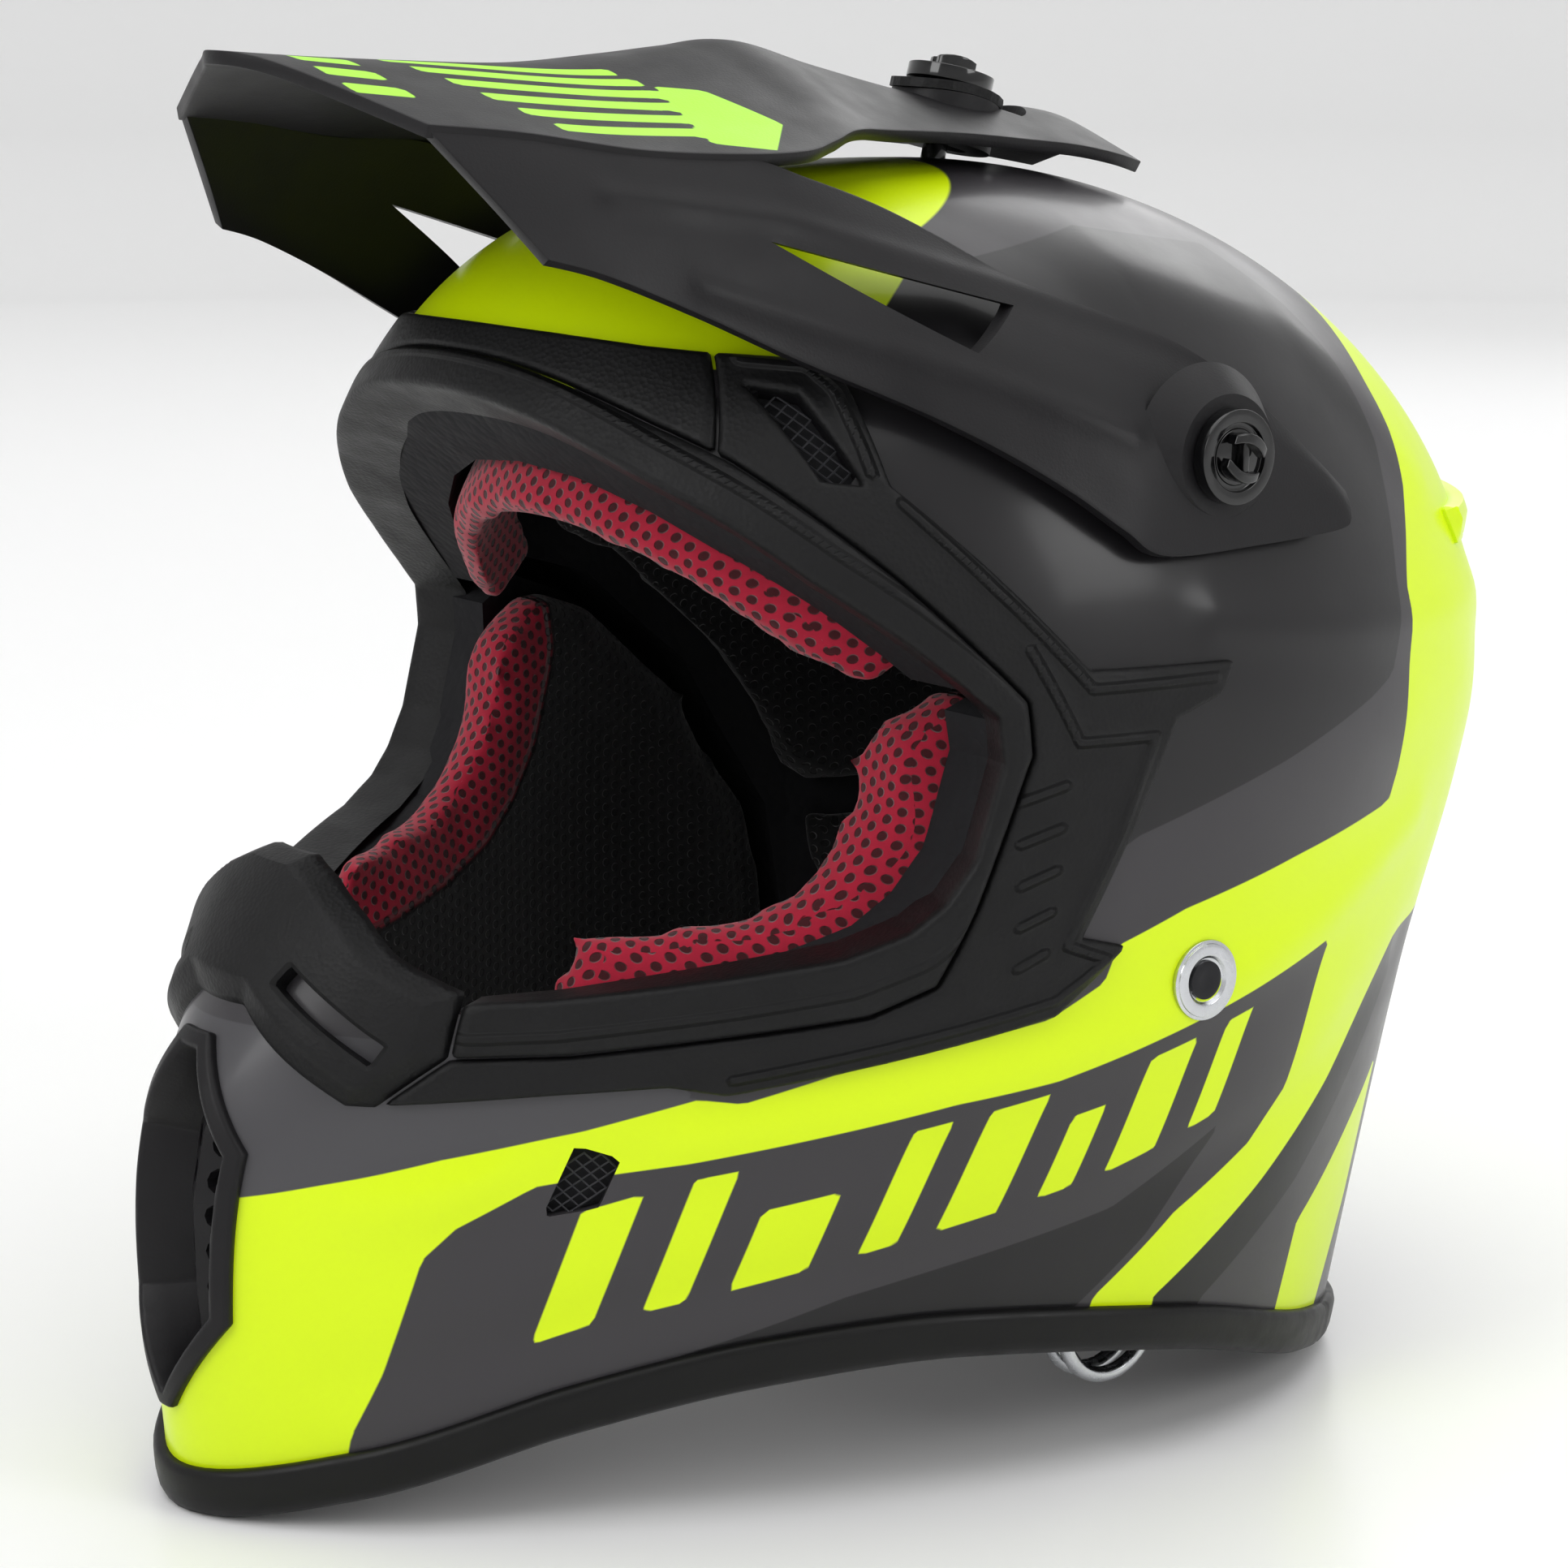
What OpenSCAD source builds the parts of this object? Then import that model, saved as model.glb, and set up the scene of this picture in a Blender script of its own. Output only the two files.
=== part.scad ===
// Motocross helmet: moulded shell, peak on three screws, rubber trims, foam liner,
// pads, chin straps with two D-rings. Wearer faces -Y, wearer's left is +X, table at Z = 0.

/* [Shell] */
// Width of the shell over its widest ring, in the wearer's left-right direction
shell_w = 248; // [215:1:275]
// Length of the shell from chin tip to rear
shell_l = 352; // [320:1:385]
// Height of the bare shell above the table
shell_h = 288; // [255:1:315]
// Thickness of the moulded shell wall
wall = 3.2; // [2:0.1:5]
// Gap between the shell face and a trim laid on it
trim_gap = 0.4; // [0.3:0.1:1]

/* [Edge bead] */
// Height of the rubber bead above the shell's bottom edge
bead_up = 6; // [4:0.5:10]
// Depth of the bead below the shell's bottom edge
bead_down = 5.4; // [3.5:0.1:8]
// Rubber thickness on each side of the shell wall
bead_side = 2.4; // [1.5:0.1:4]
// Gap between the bead's slot and the shell wall
bead_gap = 0.3; // [0.1:0.05:0.8]

/* [Eyeport rim and trims] */
// How far the eyeport rim stands above the shell
rim_proud = 3.4; // [2:0.1:6]
// How far the rim's lip reaches in past the shell face
rim_depth = 13; // [8:0.5:18]
// Thickness of the rim's lip
rim_lip = 2.6; // [1.8:0.1:4]
// Height of the side and brow trims above the shell
trim_proud = 2.3; // [1.2:0.1:4]
// Height of the nose guard above the shell
nose_proud = 5.6; // [4:0.1:9]

/* [Vents] */
// Width of the mouth vent's flange
vent_flange = 4; // [3:0.1:6]
// Depth of the mouth vent's tunnel behind the shell face
vent_depth = 12; // [8:0.5:18]
// Diameter of the holes in the mouth vent plate
vent_hole = 5.6; // [3:0.1:7]
// Spacing of the holes in the mouth vent plate
vent_pitch = 8; // [6.5:0.1:12]
// Gap round the grilles let into the shell
grille_gap = 0.4; // [0.3:0.1:1]

/* [Peak] */
// Thickness of the peak's moulding
peak_t = 3; // [2:0.1:5]
// Tilt of the peak either way about its side screws, in degrees
peak_tilt = 3; // [1:0.5:4]
// Diameter of the boss round each side screw on the peak
peak_boss = 27; // [22:0.5:34]

/* [Peak screws] */
// Diameter of the screw heads
head_d = 20.6; // [16:0.2:26]
// Thickness of the screw heads without the wing
head_t = 3.4; // [2.5:0.1:6]
// Height of the finger wing on the heads
wing_h = 2.8; // [1.5:0.1:5]
// Diameter of the screw shanks
shank_d = 5.9; // [4:0.1:8]
// Radial running clearance of the shanks in the peak and shell
shank_run = 0.05; // [0.02:0.01:0.1]
// Width across flats of the captive nuts
nut_af = 13; // [10:0.5:17]

/* [Liner] */
// Clear gap left between neighbouring liner parts
liner_gap = 1; // [0.5:0.1:3]
// Half width of the head cavity at the ears
cavity_w = 84; // [76:1:92]
// Half length of the head cavity at the brow
cavity_l = 105; // [96:1:112]
// Height of the head cavity's crown above the table
cavity_h = 254; // [225:1:262]

/* [Chin straps] */
// Width of the strap webbing
strap_w = 20; // [16:0.5:26]
// Thickness of the strap webbing
strap_t = 2; // [1.4:0.1:3]
// Diameter of the rivet shanks that carry the straps
rivet_d = 8; // [6:0.1:10]
// Radial running clearance of the strap plates on the rivets
rivet_run = 0.06; // [0.02:0.01:0.1]
// Outer diameter of the rivet's face ring
rivet_ring = 18; // [14:0.5:24]
// Wire diameter of the D-rings
ring_wire = 3.6; // [2.5:0.1:5]
// Radial running clearance of the D-rings in the strap end
ring_run = 0.05; // [0.02:0.01:0.1]

/* [Hidden] */
sx = shell_w / 248;
sy = shell_l / 352;
sz = shell_h / 288;
axis_y = 25 * sy;
na = 64;
nt = 22;
// side screw axis runs along X through this point, and the peak tilts about it
piv_y = 22 * sy;
piv_z = 230 * sz;
boss_x = 115.5 * sx;
boss_len = 17;
crown_a = 15.5;
crown_r = 61.5 * sz;
seat_r = 74.7 * sz;
// strap rivets
riv_y = 18 * sy;
riv_z = 115 * sz;
riv_x = 120.4 * sx;
ring_x = 88 * sx;
ring_z = 33 * sz;
ring_half = strap_w / 2 + 3;
ring_off = 3;

// angles round the shell from the chin, and the four rings there: radius and height
th = [0, 12, 25, 40, 60, 90, 120, 150, 180];
r_edge = [197, 178, 151, 132, 116, 108, 106, 108, 108];
z_edge = [4.6, 12.5, 27, 36, 38, 30, 14, 4.6, 4.6];
r_cheek = [201, 177, 152, 136, 125, 118, 118, 126, 130];
z_cheek = [75, 78, 82, 86, 90, 92, 92, 90, 88];
r_mid = [178, 168, 150, 138, 129, 122, 125, 140, 148];
z_mid = [125, 125, 128, 132, 135, 138, 140, 140, 140];
r_dome = [140, 139, 136, 133, 128, 124, 129, 144, 151.5];
z_dome = [185, 185, 182, 178, 174, 170, 168, 168, 168];
pow_r = [0.62, 0.62, 0.66, 0.74, 0.86, 0.94, 1, 1, 1];
pow_z = [0.95, 0.95, 0.95, 0.95, 0.95, 0.97, 1, 1, 1];
// face opening of the liner: radii below the brow
r_face = [168, 148, 120, 102, 92, 87, 88, 98, 104];
u_cut = 0.45;

function slope(v, i) = i == 0 || i == 8 ? 0 : (v[i + 1] - v[i - 1]) / (th[i + 1] - th[i - 1]);
function seg(a, i = 0) = i >= 7 || a < th[i + 1] ? i : seg(a, i + 1);
function herm(s, a, b, m, n) =
  (2 * s * s * s - 3 * s * s + 1) * a + (s * s * s - 2 * s * s + s) * m
  + (3 * s * s - 2 * s * s * s) * b + (s * s * s - s * s) * n;
function tab2(v, a, i) =
  let (h = th[i + 1] - th[i])
  herm((a - th[i]) / h, v[i], v[i + 1], h * slope(v, i), h * slope(v, i + 1));
function tab(v, a) = tab2(v, a, seg(a));
function rise(v, last, t) =
  let (
    m = [v[1] - v[0], (v[2] - v[0]) / 2, (v[3] - v[1]) / 2, last],
    k = min(floor(t / 0.15), 2),
    s = t / 0.15 - k
  )
  herm(s, v[k], v[k + 1], m[k], m[k + 1]);
function half(i) = i > na / 2 ? na - i : i;
function place(i, r, z) =
  let (a = 360 * i / na)
  [r * sin(a) * sx, (25 - r * cos(a)) * sy, z * sz];
// one meridian of the shell: [radius, height] for each row
function meridian(a) =
  let (
    rs = [tab(r_edge, a), tab(r_cheek, a), tab(r_mid, a), tab(r_dome, a)],
    zs = [tab(z_edge, a), tab(z_cheek, a), tab(z_mid, a), tab(z_dome, a)],
    p = tab(pow_r, a),
    q = tab(pow_z, a)
  )
  [for (j = [0 : nt - 1])
    let (t = j / nt, f = (t - u_cut) / (1 - u_cut) * 90)
    t <= u_cut
      ? [rise(rs, 0, t), rise(zs, zs[3] - zs[2], t)]
      : [rs[3] * pow(cos(f), p), zs[3] + (288 - zs[3]) * pow(sin(f), q)]];
mer = [for (i = [0 : na / 2]) meridian(360 * i / na)];
grid = [for (j = [0 : nt - 1]) [for (i = [0 : na - 1]) place(i, mer[half(i)][j][0], mer[half(i)][j][1])]];
function unit(v) = v / norm(v);
norms = [for (j = [0 : nt - 1]) [for (i = [0 : na - 1])
  unit(cross(
    grid[j][(i + 1) % na] - grid[j][(i + na - 1) % na],
    grid[min(j + 1, nt - 1)][i] - grid[max(j - 1, 0)][i]))]];
// the head cavity on the same rows and columns
function ease(s) = s <= 0 ? 0 : s >= 1 ? 1 : s * s * (3 - 2 * s);
function hollow(i, j) =
  let (
    a = 360 * i / na,
    t = j / nt,
    f = max(0, (t - u_cut) / (1 - u_cut) * 90),
    e = 1 / sqrt(pow(sin(a) / cavity_w, 2) + pow(cos(a) / cavity_l, 2)),
    zd = tab(z_dome, 360 * half(i) / na),
    m = ease((t - 0.26) / 0.2),
    r = (tab(r_face, 360 * half(i) / na) * (1 - m) + e * m) * pow(cos(f), 0.85)
  )
  [r * sin(a) * sx, (25 - r * cos(a)) * sy,
    t <= u_cut ? mer[half(i)][j][1] * sz : zd * sz + (cavity_h - zd * sz) * sin(f)];
cave = [for (j = [0 : nt - 1]) [for (i = [0 : na - 1]) hollow(i, j)]];
// d: a number is millimetres out from the shell face, a list is a share of the way to the cavity
function at(i, j, d) =
  is_list(d)
    ? (grid[j][i] - 5 * norms[j][i]) * (1 - d[0]) + cave[j][i] * d[0]
    : grid[j][i] + d * norms[j][i];
function crown(d) =
  is_list(d)
    ? [0, axis_y, (shell_h - 5) * (1 - d[0]) + cavity_h * d[0]]
    : [0, axis_y, shell_h + d];
module layer(inner, outer, s = 1, j0 = 0) {
  rows = [for (j = [j0 : s : nt - 1]) j];
  n = na / s;
  m = len(rows);
  k0 = n * m;
  pts = concat(
    [for (j = rows) for (i = [0 : s : na - 1]) at(i, j, outer)],
    [for (j = rows) for (i = [0 : s : na - 1]) at(i, j, inner)],
    [crown(outer), crown(inner)]);
  quads = [for (r = [0 : m - 2]) for (k = [0 : n - 1])
    [r * n + k, r * n + (k + 1) % n, (r + 1) * n + (k + 1) % n, (r + 1) * n + k]];
  out = [for (q = quads) each [[q[0], q[2], q[1]], [q[0], q[3], q[2]]]];
  in = [for (f = out) [f[0] + k0, f[2] + k0, f[1] + k0]];
  last = (m - 1) * n;
  cap = [for (k = [0 : n - 1]) each [
    [last + k, 2 * k0, last + (k + 1) % n],
    [k0 + last + k, k0 + last + (k + 1) % n, 2 * k0 + 1],
    [k, (k + 1) % n, k0 + (k + 1) % n],
    [k, k0 + (k + 1) % n, k0 + k]]];
  polyhedron(points = pts, faces = concat(out, in, cap), convexity = 8);
}

// side view outlines are [y, z], front and rear views [x, z]
function side_pts(v) = [for (p = v) [p[0] * sy, p[1] * sz]];
function front_pts(v) = [for (p = v) [p[0] * sx, p[1] * sz]];
function mirrored(v) = concat(v, [for (k = [len(v) - 1 : -1 : 0]) [-v[k][0], v[k][1]]]);
module across(v, grow = 0, x0 = -160, x1 = 160) {
  translate([x0, 0, 0])
    rotate([90, 0, 90])
      linear_extrude(height = x1 - x0)
        offset(delta = grow) polygon(side_pts(v));
}
module along(v, grow = 0, y0 = -220, y1 = -90) {
  translate([0, y1, 0])
    rotate([90, 0, 0])
      linear_extrude(height = y1 - y0)
        offset(delta = grow) polygon(front_pts(v));
}
module on_side(left) {
  if (left) children();
  else mirror([1, 0, 0]) children();
}
module right_half() {
  translate([0, -250, -50]) cube([250, 500, 500]);
}

eye = [
  [-200, 300], [-110, 250], [-98, 238], [-89, 228], [-78, 218], [-67, 207], [-54, 196],
  [-42, 185], [-35, 178], [-34, 168], [-40, 148], [-46, 139], [-53, 133], [-65, 128],
  [-86, 124], [-114, 119], [-128, 118], [-137, 123], [-143, 133], [-150, 143], [-200, 160]];
rim_out = [
  [-200, 330], [-112, 264], [-97, 250], [-84, 238], [-75, 231], [-52, 207], [-29, 181],
  [-28, 170], [-33, 156], [-40, 137], [-47, 121], [-60, 115], [-86, 111], [-112, 107],
  [-136, 106], [-150, 110], [-160, 128], [-200, 140]];
nose = mirrored([
  [8, 144], [17, 140.5], [28, 134], [37, 127], [50, 120], [49, 106], [39, 95], [34, 95],
  [9, 113.5]]);
nose_slot = [[17, 118], [19, 122], [40, 108.5], [38, 104]];
mouth = mirrored([[5, 107], [20, 84], [18, 46], [2, 24]]);
chin_vent = [[-111, 87], [-103, 84], [-107, 73], [-117, 71]];
brow_vent = [[-67, 245.5], [-59.5, 244], [-54, 226], [-61, 227]];
rear_vent = [[24, 192], [52, 182], [48, 160], [28, 166]];
brow_area = [
  [-125, 258], [-94, 256], [-78, 253], [-69.5, 252], [-78, 228], [-98, 244], [-125, 252]];
side_area = [
  [-69, 252], [-56, 251], [-50, 247], [-49, 226], [-34, 209], [-15, 187], [22, 186],
  [18, 179], [6, 175], [-4, 153], [-16, 129], [-5, 126], [-21, 112], [-85, 98], [-95, 100],
  [-145.5, 95.4], [-145.5, 130], [-77.5, 228]];
band_area = [
  [-116, 243], [-92, 223], [-70, 203], [-47, 182], [-40, 177], [-22, 190], [-30, 200],
  [-54, 223], [-76, 243], [-92, 262]];
crown_area = [
  [-86, 300], [-89, 266], [-73, 246], [-51, 226], [-27, 203], [-18, 192], [2, 184],
  [35, 158], [59, 117], [190, 117], [190, 300]];
foam_area = [
  [-170, 300], [190, 300], [190, 52], [68, 52], [62, 72], [57, 114], [34, 155], [2, 181],
  [-22, 188], [-40, 179], [-60, 185], [-170, 250]];
chin_area = [
  [-200, 36], [-112, 36], [-112, 112], [-128, 113], [-140, 118], [-150, 126], [-200, 126]];
cheek_area = [
  [-100, 128], [-86, 130], [-66, 134], [-58, 139], [-52, 144], [-47, 152], [-40, 168],
  [-38, 174], [-20, 183], [0, 176], [31, 151], [53, 111], [58, 72], [44, 58], [0, 54],
  [-50, 52], [-90, 56], [-104, 80], [-107, 110]];
neck_area = [[68, 54], [190, 54], [190, 115], [61, 115], [64, 90]];

// runs along the side screw axis from its origin outwards
module screw_line(left) {
  on_side(left) translate([0, piv_y, piv_z]) rotate([0, 90, 0]) children();
}
// runs out through the crown, square to the tilt axis
module crown_line() {
  translate([0, piv_y, piv_z]) rotate([-crown_a, 0, 0]) children();
}
module rivet_line(left) {
  on_side(left) translate([0, riv_y, riv_z]) rotate([0, 90, 0]) children();
}

module outer_shell() color([0.16, 0.15, 0.16]) {
  difference() {
    resize([0, 0, 0]) difference() {
      union() {
        layer(-wall, 0);
        for (left = [true, false])
          screw_line(left) translate([0, 0, boss_x - boss_len]) cylinder(h = boss_len, d = 24, $fn = 32);
        crown_line() translate([0, 0, crown_r - 9]) cylinder(h = 9, d = 18, $fn = 32);
      }
      across(eye, rim_lip + trim_gap);
      along(mouth, -vent_flange / 2 + trim_gap);
      across(chin_vent, 0);
      across(brow_vent, 0);
      for (left = [true, false])
        on_side(left) along(rear_vent, 0, 90, 220);
    }
    for (left = [true, false]) {
      screw_line(left) translate([0, 0, boss_x - 24]) cylinder(h = 34, d = shank_d + 2 * shank_run, $fn = 48);
      rivet_line(left) translate([0, 0, riv_x - 12]) cylinder(h = 24, d = rivet_d + 0.1, $fn = 48);
      rivet_line(left) translate([0, 0, riv_x]) cylinder(h = 6, d = rivet_ring + 1, $fn = 48);
    }
    crown_line() translate([0, 0, crown_r - 20]) cylinder(h = 30, d = shank_d + 2 * shank_run, $fn = 48);
  }
}

bead_in = -wall - bead_gap - bead_side;
bead_out = bead_gap + bead_side;
bead_mid = -wall / 2;
bead_profile = [
  [bead_gap, -bead_up], [bead_out - 0.7, -bead_up], [bead_out, 1.5 - bead_up],
  [bead_out, bead_down * 0.28], [bead_out - 0.9, bead_down * 0.7], [0, bead_down * 0.93],
  [bead_mid, bead_down], [-wall, bead_down * 0.93], [bead_in + 0.9, bead_down * 0.7],
  [bead_in, bead_down * 0.28], [bead_in, 1.5 - bead_up], [bead_in + 0.7, -bead_up],
  [-wall - bead_gap, -bead_up], [-wall - bead_gap, 0.4], [bead_gap, 0.4]];
module edge_bead() color([0.05, 0.05, 0.05]) {
  m = len(bead_profile);
  pts = [for (i = [0 : na - 1]) for (p = bead_profile)
    let (d = unit(grid[0][i] - grid[1][i]))
    grid[0][i] + p[0] * norms[0][i] + p[1] * d];
  faces = [for (i = [0 : na - 1]) for (k = [0 : m - 1])
    let (a = i * m + k, b = i * m + (k + 1) % m, c = ((i + 1) % na) * m + (k + 1) % m, d = ((i + 1) % na) * m + k)
    each [[a, b, c], [a, c, d]]];
  resize([0, 0, 0]) intersection() {
    polyhedron(points = pts, faces = faces, convexity = 6);
    translate([-200, -250, 0]) cube([400, 500, 80]);
  }
}

module eyeport_rim() color([0.06, 0.06, 0.07]) {
  resize([0, 0, 0]) difference() {
    union() {
      intersection() {
        layer(trim_gap, rim_proud);
        across(rim_out);
      }
      intersection() {
        layer(-rim_depth, rim_proud);
        across(eye, rim_lip);
      }
    }
    across(eye);
    along(nose, trim_gap);
    // the nose guard takes over from the rim in front
    translate([-44 * sx, -220, 117 * sz]) cube([88 * sx, 220 - 137.6 * sy, 50]);
  }
}

module brow_trim() color([0.07, 0.07, 0.08]) {
  resize([0, 0, 0]) difference() {
    intersection() {
      layer(trim_gap, trim_proud);
      across(brow_area);
    }
    across(rim_out, trim_gap);
  }
}

module side_trim(left) color([0.07, 0.07, 0.08]) {
  on_side(left) resize([0, 0, 0]) difference() {
    intersection() {
      layer(trim_gap, trim_proud);
      across(side_area, 0, 0, 160);
    }
    across(rim_out, trim_gap);
    across(brow_vent);
    along(nose, trim_gap);
  }
}
module side_trim_left() side_trim(true);
module side_trim_right() side_trim(false);

module nose_guard() color([0.08, 0.08, 0.09]) {
  resize([0, 0, 0]) difference() {
    intersection() {
      layer(trim_gap, nose_proud);
      along(nose);
    }
    along(nose_slot);
    mirror([1, 0, 0]) along(nose_slot);
  }
}

module mouth_vent_bezel() color([0.17, 0.17, 0.18]) {
  resize([0, 0, 0]) difference() {
    union() {
      intersection() {
        layer(trim_gap, trim_proud);
        along(mouth);
      }
      intersection() {
        layer(-vent_depth, trim_proud);
        along(mouth, -vent_flange / 2);
      }
    }
    along(mouth, -vent_flange);
  }
}

module mouth_vent_plate() color([0.03, 0.03, 0.03]) {
  resize([0, 0, 0]) difference() {
    intersection() {
      layer(-vent_depth + 0.5, -vent_depth + 2.5);
      along(mouth, -vent_flange - trim_gap);
    }
    for (x = [-0.5, 0.5], k = [0 : 6])
      translate([x * vent_pitch * 1.3 * sx, -90, (42 + k * vent_pitch) * sz])
        rotate([90, 0, 0])
          cylinder(h = 130, d = vent_hole, $fn = 10);
  }
}

module grille_slots(n, y0, z0, z1) {
  for (k = [0 : n - 1])
    translate([40, y0, z0 + (z1 - z0) * k / n]) cube([110, 40, (z1 - z0) / n * 0.45]);
}
module chin_mesh(left) color([0.04, 0.04, 0.04]) {
  on_side(left) resize([0, 0, 0]) difference() {
    intersection() {
      layer(-2.6, -1.4);
      across(chin_vent, -grille_gap, 0, 160);
    }
    intersection() {
      across(chin_vent, -grille_gap - 1.2, 0, 160);
      grille_slots(4, -125 * sy, 73 * sz, 87 * sz);
    }
  }
}
module chin_mesh_left() chin_mesh(true);
module chin_mesh_right() chin_mesh(false);

module brow_mesh(left) color([0.04, 0.04, 0.04]) {
  on_side(left) resize([0, 0, 0]) difference() {
    intersection() {
      layer(-2.6, -1.4);
      across(brow_vent, -grille_gap, 0, 160);
    }
    intersection() {
      across(brow_vent, -grille_gap - 1.2, 0, 160);
      grille_slots(5, -80 * sy, 228 * sz, 244 * sz);
    }
  }
}
module brow_mesh_left() brow_mesh(true);
module brow_mesh_right() brow_mesh(false);

module rear_vent_grille(left) color([0.05, 0.05, 0.05]) {
  on_side(left) resize([0, 0, 0]) difference() {
    intersection() {
      layer(-2.8, 0.6);
      along(rear_vent, -grille_gap, 90, 220);
    }
    for (k = [0 : 2])
      translate([31 * sx, 90, (168 + 6.5 * k) * sz]) cube([15, 130, 2.8]);
  }
}
module rear_vent_left() rear_vent_grille(true);
module rear_vent_right() rear_vent_grille(false);

module rear_spoiler() color([0.8, 0.93, 0.05]) {
  resize([0, 0, 0]) intersection() {
    layer(trim_gap, 3.6);
    translate([-90 * sx, 96 * sy, 198 * sz]) cube([180 * sx, 120, 9]);
  }
}

module nut_pockets() {
  for (left = [true, false])
    screw_line(left) translate([0, 0, boss_x - 27]) cylinder(h = 40, d = 34, $fn = 24);
  crown_line() translate([0, 0, crown_r - 22]) cylinder(h = 40, d = 28, $fn = 24);
}
module eps_liner() color([0.12, 0.12, 0.12]) {
  resize([0, 0, 0]) difference() {
    intersection() {
      layer([0.62], [0.02], 2);
      across(foam_area);
    }
    across(eye, rim_lip + 2 * trim_gap);
    nut_pockets();
  }
}

module chin_foam() color([0.1, 0.1, 0.1]) {
  resize([0, 0, 0]) difference() {
    intersection() {
      layer([0.62], [0.04], 2);
      across(chin_area);
    }
    across(eye, rim_lip + 2 * trim_gap);
    along(mouth, trim_gap);
  }
}

module cheek_block(left) color([0.13, 0.13, 0.13]) {
  on_side(left) resize([0, 0, 0]) difference() {
    intersection() {
      layer([0.46], [0.05], 2);
      across(cheek_area, -liner_gap, 0, 160);
    }
    across(eye, rim_lip + 2 * trim_gap);
    // channel for the strap to hang and swing in
    intersection() {
      layer([0.36], 2, 2);
      translate([0, riv_y - strap_w / 2 - 16, 0]) cube([200, strap_w + 32, riv_z + 20]);
    }
  }
}
module cheek_block_left() cheek_block(true);
module cheek_block_right() cheek_block(false);

module crown_liner() color([0.05, 0.05, 0.06]) {
  resize([0, 0, 0]) intersection() {
    layer([0.97], [0.66], 2);
    across(crown_area);
  }
}
module brow_band() color([0.55, 0.08, 0.17]) {
  resize([0, 0, 0]) intersection() {
    layer([0.99], [0.66], 2);
    across(band_area);
  }
}
module cheek_pad(left) color([0.08, 0.08, 0.08]) {
  on_side(left) resize([0, 0, 0]) intersection() {
    layer([0.99], [0.5], 2);
    across(cheek_area, 0, 0, 160);
  }
}
module cheek_pad_left() cheek_pad(true);
module cheek_pad_right() cheek_pad(false);
module neck_roll() color([0.06, 0.06, 0.06]) {
  resize([0, 0, 0]) intersection() {
    layer([0.99], [0.66], 2);
    across(neck_area);
  }
}

// peak: centre ridge and crease down the roof, then the three lines of each arm
ridge = [
  [0, -155, 316], [0, -135, 314.5], [0, -108, 313], [0, -80, 312], [0, -55, 313.5],
  [0, -38, 315], [0, -23, 316], [0, -2, 310.5], [0, 25, 304], [0, 42, 301.5],
  [0, 60, 299.5], [0, 74, 297], [0, 88, 291]];
crease = [
  [52, -135, 302], [57, -115, 300], [63, -90, 296], [66, -66, 294.5], [64, -48, 294.5],
  [56, -34, 296], [46, -20, 297.5], [37, -2, 296.5], [31, 22, 295], [29, 42, 293],
  [27, 60, 291], [25, 74, 288.5], [20, 86, 286]];
arm_top = [
  [51, -135, 301.5], [56, -115, 299.5], [62, -90, 295.5], [65, -66, 294], [67, -50, 289],
  [70, -34, 283], [77, -20, 275], [87, -8, 266], [95, 8, 259], [101, 24, 252],
  [108, 40, 241], [114, 54, 227], [116, 62, 219]];
arm_low = [
  [68, -117, 275], [72, -104, 271], [78, -84, 262], [84, -66, 253], [92, -49, 245],
  [100, -38, 239], [108, -27, 232], [115, -16, 224], [120, -6, 216], [122, 4, 210],
  [122, 30, 210], [120.5, 56, 211], [119.5, 61, 213]];
arm_swell = [0, 1, 2, 3, 3.5, 4, 4.5, 5, 5.5, 5.5, 3, 1.5, 0.5];
function fit(p) = [p[0] * sx, p[1] * sy, p[2] * sz];
function roof_row(k) =
  let (c = ridge[k], e = crease[k], q = c * 0.68 + e * 0.32 + [0, 0, (c[2] - e[2]) * 0.14])
  [fit([-e[0], e[1], e[2]]), fit([-q[0], q[1], q[2]]), fit(c), fit(q), fit(e)];
function arm_row(k) =
  let (a = arm_top[k], b = arm_low[k], s = arm_swell[k] * [0.86, 0, 0.5])
  [fit(a), fit(a * 0.72 + b * 0.28 + s * 0.8), fit(a * 0.4 + b * 0.6 + s), fit(b)];
// closed sheet from rows of points, thickened along v
module sheet(rows, v) {
  n = len(rows[0]);
  m = len(rows);
  k0 = n * m;
  pts = concat([for (r = rows) each r], [for (r = rows) for (p = r) p + v]);
  quads = [for (r = [0 : m - 2]) for (k = [0 : n - 2])
    [r * n + k, r * n + k + 1, (r + 1) * n + k + 1, (r + 1) * n + k]];
  up = [for (q = quads) each [[q[0], q[3], q[2]], [q[0], q[2], q[1]]]];
  down = [for (f = up) [f[0] + k0, f[2] + k0, f[1] + k0]];
  rim = concat(
    [for (k = [0 : n - 2]) [k, k + 1]],
    [for (r = [0 : m - 2]) [(r + 1) * n - 1, (r + 2) * n - 1]],
    [for (k = [n - 1 : -1 : 1]) [(m - 1) * n + k, (m - 1) * n + k - 1]],
    [for (r = [m - 1 : -1 : 1]) [r * n, (r - 1) * n]]);
  walls = [for (e = rim) each [[e[0], e[1], e[1] + k0], [e[0], e[1] + k0, e[0] + k0]]];
  polyhedron(points = pts, faces = concat(up, down, walls), convexity = 6);
}
arm_slot = [[-67, 277], [-14, 262], [-28, 253]];
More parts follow.
